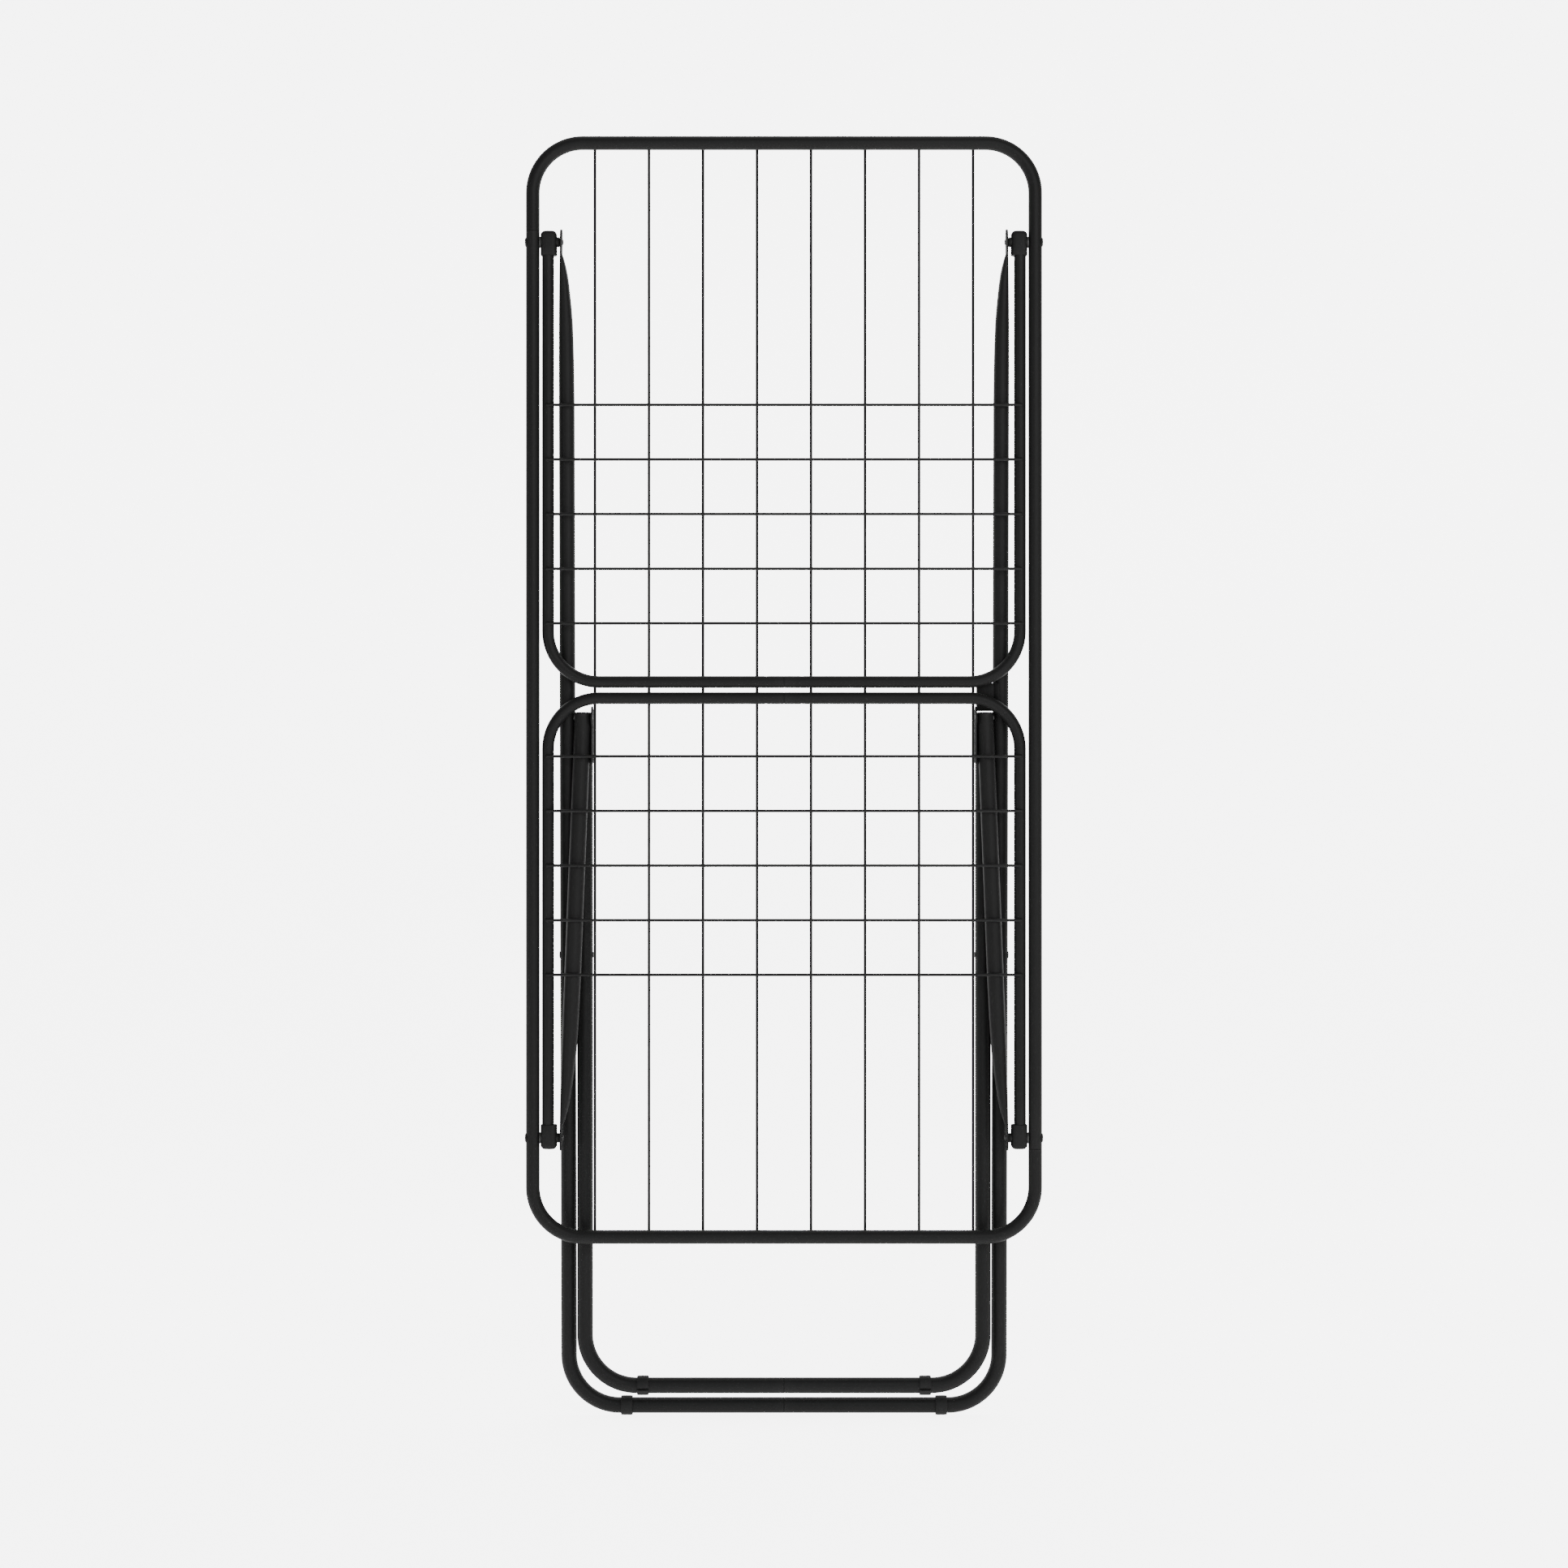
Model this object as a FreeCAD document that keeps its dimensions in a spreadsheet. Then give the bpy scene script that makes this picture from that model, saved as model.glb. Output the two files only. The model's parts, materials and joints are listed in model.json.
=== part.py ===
"""Folding clothes airer, shown folded flat: a parametric FreeCAD document.

Millimetres, +Z up, front of the folded airer towards -Y, left-hand side at -X.
The origin is the middle of the box round the folded airer, at the floor.
"""
import FreeCAD
import Part

import math
import os
import re

from FreeCAD import Placement, Rotation, Vector

# ---------------------------------------------------------------- sizes

DRIVING_SIZES = (
    # main frame: two J-shaped halves that meet beside the hinges
    ("frame_width", 570.0),
    ("frame_length", 1223.1),
    ("frame_tube", 15.2),
    ("frame_wall", 1.0),
    ("frame_bend", 55.0),
    ("hinge_inset", 109.5),
    ("seam_offset", 12.0),
    ("sleeve_length", 50.0),
    ("sleeve_wall", 1.0),
    ("sleeve_gap", 0.05),
    # drying wires
    ("wire", 3.2),
    ("weld_sink", 0.4),
    ("long_wire_pitch", 59.8),
    ("long_wire_overhang", 1.5),
    ("wing_wire_first", 180.4),
    ("wing_wire_pitch", 60.2),
    ("wing_wire_overhang", 1.4),
    # wings
    ("wing_tube", 13.1),
    ("wing_wall", 1.0),
    ("wing_bend", 56.3),
    ("wing_gap", 2.65),
    ("wing_meeting_gap", 4.8),
    # hinge stack
    ("rivet", 5.0),
    ("rivet_clearance", 0.1),
    ("rivet_head", 9.9),
    ("rivet_head_height", 1.1),
    ("rivet_tail", 6.4),
    ("rivet_tail_height", 1.0),
    ("washer", 12.4),
    ("washer_thickness", 1.0),
    ("thrust_gap", 0.15),
    ("cap_barrel", 14.4),
    ("cap_above", 12.5),
    ("cap_below", 14.9),
    ("cap_web_depth", 7.2),
    ("cap_rounding", 4.5),
    ("cap_spigot", 25.0),
    ("bush", 10.6),
    ("bush_length", 3.55),
    # legs
    ("leg_tube", 17.5),
    ("leg_wall", 1.0),
    ("leg_gap", 5.0),
    ("leg_lean", 2.0),
    ("leg_bend", 57.0),
    ("outer_leg_length", 1293.8),
    ("crossing_distance", 788.7),
    ("crossing_gap", 1.3),
    ("crossing_head", 8.0),
    ("crossing_washer", 12.0),
    ("inner_leg_lean", 0.2),
    ("inner_leg_length", 479.6),
    ("inner_leg_top", 212.4),
    ("plate_thickness", 2.4),
    ("plate_width", 20.0),
    ("plate_tip", 14.0),
    ("plate_length", 13.0),
    ("plate_inset", 2.0),
    ("taper_overlap", 2.0),
    ("taper_nesting", 0.1),
    # crimps that lock the inner sleeves of the bars
    ("crimp_spacing", 39.8),
    ("crimp_depth", 0.6),
    ("crimp_radius", 6.0),
    ("bar_sleeve_length", 80.0),
    # braces and knees
    ("brace_tube", 18.4),
    ("brace_wall", 1.0),
    ("brace_end", 5.4),
    ("brace_knee_shift", 1.4),
    ("knee_offset", 17.0),
    ("knee_height", 263.9),
    ("knee_clearance", 0.4),
    ("knee_ear_thickness", 1.8),
    ("knee_ear_radius", 12.0),
    ("knee_ear_front", 6.0),
    ("knee_plug_front", 11.1),
    ("knee_plug_top", 5.0),
    ("knee_spigot", 30.0),
    # fold catch on the right outer leg
    ("catch_below", 517.6),
    ("catch_height", 31.0),
    ("catch_depth", 16.0),
    ("catch_wall", 2.4),
    ("catch_grip", 0.15),
    # foot rings
    ("ring", 21.8),
    ("ring_width", 12.8),
    ("ring_grip", 0.05),
    ("ring_gap", 3.4),
    ("ring_gap_angle", 12.9),
    ("ring_pad_depth", 0.5),
    ("outer_ring_inset", 64.6),
    ("inner_ring_inset", 64.4),
    ("outer_pad_angle", -46.8),
    ("inner_pad_angle", -124.3),
)

DERIVED_SIZES = (
    ("frame_side", "(frame_width - frame_tube) / 2"),
    ("hinge_spread", "(frame_length - frame_tube) / 2 - hinge_inset"),
    ("upper_hinge", "ring / 2 + outer_leg_length * cos(leg_lean)"),
    ("frame_centre", "upper_hinge - hinge_spread"),
    ("lower_hinge", "frame_centre - hinge_spread"),
    ("frame_inner_face", "frame_side - frame_tube / 2"),
    ("front_depth", "max(plate_width / 2; wing_tube / 2 + wire - weld_sink)"),
    ("back_depth", "outer_leg_length * sin(leg_lean) + ring / 2"),
    ("plane", "(front_depth - back_depth) / 2"),
    ("wing_side", "frame_inner_face - wing_gap - wing_tube / 2"),
    ("wing_reach", "hinge_spread - (wing_tube + wing_meeting_gap) / 2"),
    ("outer_side", "wing_side - wing_tube / 2 - leg_gap - leg_tube / 2"),
    ("inner_side", "outer_side - leg_tube - crossing_gap"),
    ("plate_face", "outer_side + leg_tube / 2 - plate_inset"),
    ("cap_outer_face", "frame_inner_face - washer_thickness - thrust_gap"),
    ("cap_inner_face", "plate_face + bush_length"),
    ("crossing_y", "plane + crossing_distance * sin(leg_lean)"),
    ("crossing_z", "upper_hinge - crossing_distance * cos(leg_lean)"),
    ("knee_side", "inner_side + brace_knee_shift"),
    ("knee_y", "crossing_y - knee_offset * cos(inner_leg_lean) - knee_height * sin(inner_leg_lean)"),
    ("knee_z", "crossing_z - knee_offset * sin(inner_leg_lean) + knee_height * cos(inner_leg_lean)"),
    ("brace_length", "sqrt((knee_y - plane)^2 + (knee_z - lower_hinge)^2)"),
    ("ear_inner_face", "knee_side - brace_tube / 2 - knee_clearance - knee_ear_thickness"),
)

# Shares of the full tube width reached at each distance below a flattened end's pivot.
TAPER = ((19.0, 0.28), (37.0, 0.54), (55.0, 0.69), (91.0, 0.89), (136.0, 0.97), (178.0, 1.0))
LONG_WIRES = 8
WING_WIRES = 5
SIDES = (("left", -1), ("right", 1))

doc = FreeCAD.newDocument("folding_airer")
sheet = doc.addObject("Spreadsheet::Sheet", "Sizes")
for row, (alias, number) in enumerate(DRIVING_SIZES, 1):
    sheet.set(f"A{row}", alias)
    sheet.set(f"B{row}", str(number))
    sheet.setAlias(f"B{row}", alias)
for row, (alias, formula) in enumerate(DERIVED_SIZES, 1):
    sheet.set(f"C{row}", alias)
    sheet.set(f"D{row}", "=" + formula)
    sheet.setAlias(f"D{row}", alias)
doc.recompute()

ALIASES = {alias for alias, _ in DRIVING_SIZES + DERIVED_SIZES}
ALONG = {
    "x": Rotation(Vector(0, 1, 0), 90),
    "y": Rotation(Vector(1, 0, 0), -90),
    "z": Rotation(),
}
subparts = {}


def size(alias):
    """Return one cell of the sheet as a float."""
    return float(sheet.get(alias))


def bind(obj, **properties):
    """Bind properties to formulas written with the sheet's aliases."""
    for name, formula in properties.items():
        full = re.sub(r"[a-z_]+", lambda m: "Sizes." + m[0] if m[0] in ALIASES else m[0], formula)
        obj.setExpression(name.replace("__", "."), full)
    return obj


def move(obj, x="0", y="0", z="0"):
    """Bind an object's position."""
    return bind(obj, Placement__Base__x=x, Placement__Base__y=y, Placement__Base__z=z)


def cylinder(name, radius, length, axis="z", **at):
    """Cylinder that starts at a point and runs along +axis."""
    solid = doc.addObject("Part::Cylinder", name)
    solid.Placement = Placement(Vector(), ALONG[axis])
    bind(solid, Radius=radius, Height=length)
    return move(solid, **at)


def block(name, width, depth, height, **at):
    """Box with its lowest corner at a point."""
    solid = doc.addObject("Part::Box", name)
    bind(solid, Length=width, Width=depth, Height=height)
    return move(solid, **at)


def cross_cylinder(name, side, near, far, radius, **at):
    """Cylinder along X between two distances from the middle plane, on one side."""
    start = near if side > 0 else f"-({far})"
    return cylinder(name, radius, f"({far}) - ({near})", "x", x=start, **at)


def cross_block(name, side, near, far, depth, height, **at):
    """Box between two distances from the middle plane, on one side."""
    start = near if side > 0 else f"-({far})"
    return block(name, f"({far}) - ({near})", depth, height, x=start, **at)


def quarter_bend(name, bend, radius, start, **at):
    """Quarter of a torus in the XZ plane, swept 90 degrees on from an angle above +X."""
    solid = doc.addObject("Part::Torus", name)
    solid.Placement = Placement(Vector(), Rotation(Vector(0, 1, 0), -start) * ALONG["y"].inverted())
    solid.Angle3 = 90
    bind(solid, Radius1=bend, Radius2=radius)
    return move(solid, **at)


def fuse(name, solids):
    """Fuse solids into one."""
    result = doc.addObject("Part::MultiFuse", name)
    result.Shapes = solids
    return result


def cut(name, base, tools):
    """Cut one or more solids out of another."""
    result = doc.addObject("Part::Cut", name)
    result.Base = base
    result.Tool = tools[0] if len(tools) == 1 else fuse(name + "_tools", tools)
    return result


def keep(label, obj):
    """Register a finished sub-part under its node's name."""
    obj.Label = label
    subparts[label] = obj
    return obj


def stand(obj, lean="0", **at):
    """Place a finished sub-part, leaned about X."""
    obj.Placement = Placement(Vector(), Rotation(Vector(1, 0, 0), 1))
    bind(obj, Placement__Rotation__Angle=lean)
    return move(obj, **at)


def run(name, kind, radius, **sizes):
    """One stretch of a tube's path, as a solid rod of the given radius."""
    if kind == "bend":
        return quarter_bend(name, radius=radius, **sizes)
    return cylinder(name, radius, **sizes)


def tube(name, path, diameter, wall, cutters, extras=()):
    """Hollow tube along a path of straight runs and quarter bends, joined to its extras."""
    skin = [run(f"{name}_skin_{i}", kind, f"{diameter} / 2", **s) for i, (kind, s) in enumerate(path)]
    bore = [run(f"{name}_bore_{i}", kind, f"{diameter} / 2 - {wall}", **s)
            for i, (kind, s) in enumerate(path)]
    if not extras:
        return cut(name, fuse(name + "_solid", skin), bore + list(cutters))
    hollow = cut(name + "_hollow", fuse(name + "_solid", skin), bore)
    return cut(name, fuse(name + "_joined", [hollow] + list(extras)), list(cutters))


def sleeve(name, diameter, wall, length, axis, cutters=(), **at):
    """Short liner that just slides inside a tube and joins its two halves."""
    radius = f"{diameter} / 2 - {wall} - sleeve_gap"
    skin = cylinder(name + "_skin", radius, length, axis, **at)
    bore = cylinder(name + "_bore", f"{radius} - sleeve_wall", length, axis, **at)
    return cut(name, skin, [bore] + list(cutters))


# ---------------------------------------------------------------- flattened tube ends

def oval(half_thickness, half_width, squareness, x, z):
    """Closed superellipse in a horizontal plane, for one station of a flattened end."""
    points = []
    for step in range(32):
        angle = math.pi / 2 + 2 * math.pi * step / 32
        across, along = math.cos(angle), math.sin(angle)
        points.append(Vector(
            x + half_thickness * math.copysign(abs(across) ** (2 / squareness), across),
            half_width * math.copysign(abs(along) ** (2 / squareness), along),
            z))
    curve = Part.BSplineCurve()
    curve.interpolate(points, PeriodicFlag=True)
    return Part.Wire([curve.toShape()])


def flattened_end(name, side, diameter, sideways, upward, inset):
    """Loft from a flat plate to the full round tube, drawn in from its skin by an inset.

    sideways(distance) gives the tube axis's distance from the middle plane, and
    upward is +1 where the tube runs up from its pivot and -1 where it runs down.
    """
    flat, wide = size("plate_thickness"), size("plate_width")
    stations = TAPER + ((TAPER[-1][0] + size("taper_overlap"), 1.0),)
    if inset < flat / 2:
        plate_share = flat / diameter
        plate_end = size("plate_length")
        stations = ((plate_end - size("taper_overlap"), plate_share), (plate_end, plate_share)) + stations
    sections = []
    for distance, share in stations:
        thickness = max(diameter * share, flat)
        width = thickness + (wide - flat) * (diameter - thickness) / (diameter - flat)
        outer_face = sideways(distance) + diameter / 2 - size("plate_inset") * (1 - share)
        squareness = 2.0 + 3.0 * (1 - share) ** 2
        sections.append(oval(thickness / 2 - inset, width / 2 - inset, squareness,
                             outer_face - thickness / 2, upward * distance))
    loft = Part.makeLoft(sections, True, False)
    feature = doc.addObject("Part::Feature", name)
    feature.Shape = loft if side > 0 else loft.mirror(Vector(), Vector(1, 0, 0))
    return feature


def taper_shell(name, side, diameter, wall, sideways, upward):
    """Hollow flattened end, a hair thinner than the tube's wall so that it nests in it."""
    shape = dict(side=side, diameter=diameter, sideways=sideways, upward=upward)
    skin = flattened_end(name + "_taper", inset=size("taper_nesting"), **shape)
    cavity = flattened_end(name + "_cavity", inset=wall - size("taper_nesting"), **shape)
    return cut(name + "_taper_shell", skin, [cavity])


def end_plate(name, side, upward):
    """Flat plate with a round tip, square to the hinge axis, at a flattened end."""
    rise = "(plate_tip - plate_width / 2)"
    tip = cross_cylinder(name + "_tip", side, "plate_face - plate_thickness", "plate_face",
                         "plate_width / 2", z=f"{-upward} * {rise}")
    strap = cross_block(name + "_strap", side, "plate_face - plate_thickness", "plate_face",
                        "plate_width", f"plate_length + {rise}", y="-plate_width / 2",
                        z=f"-{rise}" if upward > 0 else "-plate_length")
    return [tip, strap]


# ---------------------------------------------------------------- main frame

def frame_half(name, turned):
    """J-shaped half: up the left side beside the seam, over the top and down the right."""
    path = (
        ("line", dict(length="hinge_spread + hinge_inset - frame_bend - hinge_spread - seam_offset",
                      x="-frame_side", z="hinge_spread + seam_offset")),
        ("bend", dict(bend="frame_bend", start=90,
                      x="-(frame_side - frame_bend)", z="hinge_spread + hinge_inset - frame_bend")),
        ("line", dict(length="2 * (frame_side - frame_bend)", axis="x",
                      x="-(frame_side - frame_bend)", z="hinge_spread + hinge_inset")),
        ("bend", dict(bend="frame_bend", start=0,
                      x="frame_side - frame_bend", z="hinge_spread + hinge_inset - frame_bend")),
        ("line", dict(length="2 * hinge_spread + hinge_inset - frame_bend + seam_offset",
                      x="frame_side", z="-(hinge_spread + seam_offset)")),
    )
    holes = [cross_cylinder(f"{name}_hole_{z[0]}", 1, "frame_side - frame_tube", "frame_side + frame_tube",
                            "rivet / 2", z=z) for z in ("hinge_spread", "-hinge_spread")]
    half = tube(name, path, "frame_tube", "frame_wall", holes)
    half.Placement = Placement(Vector(), Rotation(Vector(0, 1, 0), 180 if turned else 0))
    return keep(name, move(half, y="plane", z="frame_centre"))


def frame_sleeve(name, side):
    """Liner across one seam, pinned by the hinge rivet beside it."""
    seam = "hinge_spread + seam_offset"
    middle = f"frame_centre {'+' if side < 0 else '-'} ({seam})"
    hole = cross_cylinder(name + "_hole", side, "frame_side - frame_tube", "frame_side + frame_tube",
                          "rivet / 2", z="upper_hinge" if side < 0 else "lower_hinge", y="plane")
    return keep(name, sleeve(name, "frame_tube", "frame_wall", "sleeve_length", "z", [hole],
                             x=f"{side} * frame_side", y="plane", z=f"{middle} - sleeve_length / 2"))


def long_wires():
    """Straight wires from rail to rail, welded to the backs of the rails."""
    for index in range(LONG_WIRES):
        offset = index - (LONG_WIRES - 1) / 2
        wire = cylinder(f"long_wire_{index + 1}", "wire / 2",
                        "frame_length - frame_tube + 2 * long_wire_overhang",
                        x=f"{offset} * long_wire_pitch",
                        y="plane + (frame_tube + wire) / 2 - weld_sink",
                        z="frame_centre - hinge_spread - hinge_inset - long_wire_overhang")
        keep(f"long_wire_{index + 1}", wire)


def hinge_rivet(name, side, height):
    """Rivet through frame tube, washer, wing cap and leg or brace plate."""
    at = dict(y="plane", z=height)
    outside, inside = "frame_side + frame_tube / 2", "plate_face - plate_thickness - thrust_gap"
    shank = cross_cylinder(name + "_shank", side, inside, outside, "rivet / 2", **at)
    head = cross_cylinder(name + "_head", side, outside, f"{outside} + rivet_head_height",
                          "rivet_head / 2", **at)
    tail = cross_cylinder(name + "_tail", side, f"{inside} - rivet_tail_height", inside,
                          "rivet_tail / 2", **at)
    return keep(name, fuse(name, [shank, head, tail]))


def hinge_washers():
    """Four washers between the frame's side tubes and the wing caps."""
    rings = []
    for level in ("upper", "lower"):
        for word, side in SIDES:
            name = f"washer_{level}_{word}"
            at = dict(y="plane", z=f"{level}_hinge")
            span = (side, "frame_inner_face - washer_thickness", "frame_inner_face")
            disc = cross_cylinder(name + "_disc", *span, "washer / 2", **at)
            rings.append(cut(name, disc, [cross_cylinder(name + "_hole", *span, "rivet / 2", **at)]))
    group = doc.addObject("Part::Compound", "hinge_washers")
    group.Links = rings
    return keep("hinge_washers", group)


# ---------------------------------------------------------------- wings

def bar_crimps(name, level, inward, diameter, half_count=(-1, 1)):
    """Round dents beside the middle of a bar, on the side that faces the hinge."""
    dents = []
    for index in half_count:
        dent = doc.addObject("Part::Sphere", f"{name}_crimp_{index + 1}")
        bind(dent, Radius="crimp_radius")
        dents.append(move(dent, x=f"{index} * crimp_spacing / 2",
                          z=f"{level} + {inward} * ({diameter} / 2 + crimp_radius - crimp_depth)"))
    return dents


def wing_half(name, side, away):
    """J-shaped half of a wing: from its cap down the side and along half of the bar."""
    straight = "wing_reach - cap_below - wing_bend"
    path = (
        ("line", dict(length=straight, x=f"{side} * wing_side",
                      z="cap_below" if away > 0 else "-(wing_reach - wing_bend)")),
        ("bend", dict(bend="wing_bend", start={(-1, 1): 90, (1, 1): 0, (-1, -1): 180, (1, -1): 270}[side, away],
                      x=f"{side} * (wing_side - wing_bend)", z=f"{away} * (wing_reach - wing_bend)")),
        ("line", dict(length="wing_side - wing_bend", axis="x",
                      x="0" if side > 0 else "-(wing_side - wing_bend)", z=f"{away} * wing_reach")),
    )
    crimps = bar_crimps(name, f"{away} * wing_reach", -away, "wing_tube", (side,))
    return tube(name, path, "wing_tube", "wing_wall", crimps)


def wing_cap(name, side, away):
    """Moulded cap on a wing tube's end: barrel, web, bush and a spigot in the tube."""
    top, low = ("cap_above", "cap_below") if away < 0 else ("cap_below", "cap_above")
    dome = cylinder(name + "_barrel", "cap_barrel / 2", "cap_above + cap_below",
                    x=f"{side} * wing_side", z=f"-{low}")
    square = "cap_above + cap_below - cap_rounding"
    web = cross_block(name + "_web", side, "cap_inner_face", "cap_outer_face", "cap_web_depth", square,
                      y="-cap_web_depth / 2", z=f"-{low}" if away < 0 else f"-{low} + cap_rounding")
    crown_z = f"{top} - cap_rounding" if away < 0 else f"-{low} + cap_rounding"
    crown = cross_block(name + "_crown", side, "cap_inner_face + cap_rounding",
                        "cap_outer_face - cap_rounding", "cap_web_depth", "cap_rounding",
                        y="-cap_web_depth / 2", z=crown_z if away < 0 else f"-{low}")
    shoulders = [cylinder(f"{name}_shoulder_{i}", "cap_rounding", "cap_web_depth", "y",
                          x=f"{side} * ({x})", y="-cap_web_depth / 2", z=crown_z)
                 for i, x in enumerate(("cap_inner_face + cap_rounding", "cap_outer_face - cap_rounding"))]
    bush = cross_cylinder(name + "_bush", side, "plate_face + thrust_gap",
                          "cap_inner_face + bush_length / 2", "bush / 2")
    spigot = cylinder(name + "_spigot", "wing_tube / 2 - wing_wall - sleeve_gap", "cap_spigot",
                      x=f"{side} * wing_side",
                      z="-(cap_below + cap_spigot)" if away < 0 else "cap_below")
    hole = cross_cylinder(name + "_hole", side, "plate_face", "frame_inner_face",
                          "rivet / 2 + rivet_clearance")
    body = fuse(name + "_body", [dome, web, crown, bush, spigot] + shoulders)
    return cut(name, body, [hole])


def wing(prefix, level, away):
    """Wing hinged at one level; away is the way that its bar lies from the hinge."""
    at = dict(y="plane", z=level)
    for word, side in SIDES:
        keep(f"{prefix}_tube_{word}", stand(wing_half(f"{prefix}_tube_{word}", side, away), **at))
        keep(f"{prefix}_cap_{word}", stand(wing_cap(f"{prefix}_cap_{word}", side, away), **at))
    crimps = bar_crimps(prefix + "_sleeve", f"{away} * wing_reach", -away, "wing_tube")
    liner = sleeve(prefix + "_sleeve", "wing_tube", "wing_wall", "bar_sleeve_length", "x", crimps,
                   x="-bar_sleeve_length / 2", z=f"{away} * wing_reach")
    keep(prefix + "_sleeve", stand(liner, **at))
    for index in range(WING_WIRES):
        wire = cylinder(f"{prefix}_wire_{index + 1}", "wire / 2", "2 * (wing_side + wing_wire_overhang)",
                        "x", x="-(wing_side + wing_wire_overhang)",
                        y="plane - (wing_tube + wire) / 2 + weld_sink",
                        z=f"{level} + {away} * (wing_wire_first + {index} * wing_wire_pitch)")
        keep(f"{prefix}_wire_{index + 1}", wire)


# ---------------------------------------------------------------- legs

def leg_path(side, half_width, length, top):
    """Side run, quarter bend and half of the bar, hanging down from the leg's own origin."""
    return (
        ("line", dict(length=f"{length} - leg_bend + ({top})", x=f"{side} * {half_width}",
                      z=f"-({length} - leg_bend)")),
        ("bend", dict(bend="leg_bend", start=180 if side < 0 else 270,
                      x=f"{side} * ({half_width} - leg_bend)", z=f"-({length} - leg_bend)")),
        ("line", dict(length=f"{half_width} - leg_bend", axis="x",
                      x="0" if side > 0 else f"-({half_width} - leg_bend)", z=f"-{length}")),
    )


def cross_hole(name, side, half_width, height, reach="leg_tube"):
    """Hole across one side tube for a rivet."""
    return cross_cylinder(name, side, f"{half_width} - {reach}", f"{half_width} + {reach}",
                          "rivet / 2", z=height)


def foot_ring(name, side, half_width, inset, length, gap_angle, pad_angle):
    """Snap-on foot ring round a leg's bar, split by a slot, with a flat pad to stand on."""
    near, far = f"{half_width} - {inset} - ring_width / 2", f"{half_width} - {inset} + ring_width / 2"
    rim = cross_cylinder(name + "_rim", side, near, far, "ring / 2", z=f"-{length}")
    bore = cross_cylinder(name + "_bore", side, near, far, "leg_tube / 2 + ring_grip", z=f"-{length}")
    slot = block(name + "_slot", "2 * frame_width", "ring", "ring_gap")
    slot.Placement = Placement(Vector(), Rotation(Vector(1, 0, 0), 1))
    bind(slot, Placement__Rotation__Angle=gap_angle)
    move(slot, x="-frame_width", y=f"ring_gap / 2 * sin({gap_angle})",
         z=f"-{length} - ring_gap / 2 * cos({gap_angle})")
    pad = block(name + "_pad", "2 * frame_width", "ring", "2 * ring")
    pad.Placement = Placement(Vector(), Rotation(Vector(1, 0, 0), 1))
    bind(pad, Placement__Rotation__Angle=pad_angle)
    reach = "(ring / 2 - ring_pad_depth)"
    move(pad, x="-frame_width",
         y=f"{reach} * cos({pad_angle}) + ring * sin({pad_angle})",
         z=f"-{length} + {reach} * sin({pad_angle}) - ring * cos({pad_angle})")
    return cut(name, rim, [bore, slot, pad])


def outer_leg():
    """U-shaped leg on the upper hinge, with flattened ends, foot rings and the fold catch."""
    at = dict(lean="leg_lean", y="plane", z="upper_hinge")
    taper_end = TAPER[-1][0]
    for word, side in SIDES:
        name = f"outer_leg_tube_{word}"
        taper = taper_shell(name, side, size("leg_tube"), size("leg_wall"),
                            lambda distance: size("outer_side"), -1)
        holes = [cross_cylinder(name + "_hinge_hole", side, "plate_face - leg_tube", "plate_face + leg_tube",
                                "rivet / 2 + rivet_clearance"),
                 cross_hole(name + "_crossing_hole", side, "outer_side", "-crossing_distance")]
        crimps = bar_crimps(name, "-outer_leg_length", 1, "leg_tube", (side,))
        leg = tube(name, leg_path(side, "outer_side", "outer_leg_length", f"-{taper_end}"), "leg_tube",
                   "leg_wall", holes + crimps,
                   [taper] + end_plate(name, side, -1))
        keep(name, stand(leg, **at))
        ring = foot_ring(f"outer_foot_ring_{word}", side, "outer_side", "outer_ring_inset",
                         "outer_leg_length", "ring_gap_angle", "outer_pad_angle")
        keep(f"outer_foot_ring_{word}", stand(ring, **at))
        keep(f"crossing_rivet_outer_{word}", stand(crossing_rivet_outer(word, side), **at))
    crimps = bar_crimps("outer_leg_sleeve", "-outer_leg_length", 1, "leg_tube")
    liner = sleeve("outer_leg_sleeve", "leg_tube", "leg_wall", "bar_sleeve_length", "x", crimps,
                   x="-bar_sleeve_length / 2", z="-outer_leg_length")
    keep("outer_leg_sleeve", stand(liner, **at))
    keep("fold_catch", stand(fold_catch(), **at))


def crossing_rivet_outer(word, side):
    """Outer half of a crossing pivot: head, shank through the outer leg, and washer."""
    name = f"crossing_rivet_outer_{word}"
    outside, inside = "outer_side + leg_tube / 2", "outer_side - leg_tube / 2"
    at = dict(z="-crossing_distance")
    shank = cross_cylinder(name + "_shank", side, f"{inside} - crossing_gap + 2 * thrust_gap", outside,
                           "rivet / 2", **at)
    head = cross_cylinder(name + "_head", side, outside, f"{outside} + rivet_tail_height",
                          "crossing_head / 2", **at)
    washer = cross_cylinder(name + "_washer", side, f"{inside} - crossing_gap + 2 * thrust_gap", inside,
                            "crossing_washer / 2", **at)
    return fuse(name, [shank, head, washer])


def crossing_rivet_inner(word, side):
    """Inner half of a crossing pivot: shank through the inner leg, and its tail."""
    name = f"crossing_rivet_inner_{word}"
    outside, inside = "inner_side + leg_tube / 2 - thrust_gap", "inner_side - leg_tube / 2"
    shank = cross_cylinder(name + "_shank", side, inside, outside, "rivet / 2")
    tail = cross_cylinder(name + "_tail", side, f"{inside} - rivet_tail_height + knee_clearance", inside,
                          "rivet_tail / 2")
    return fuse(name, [shank, tail])


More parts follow.
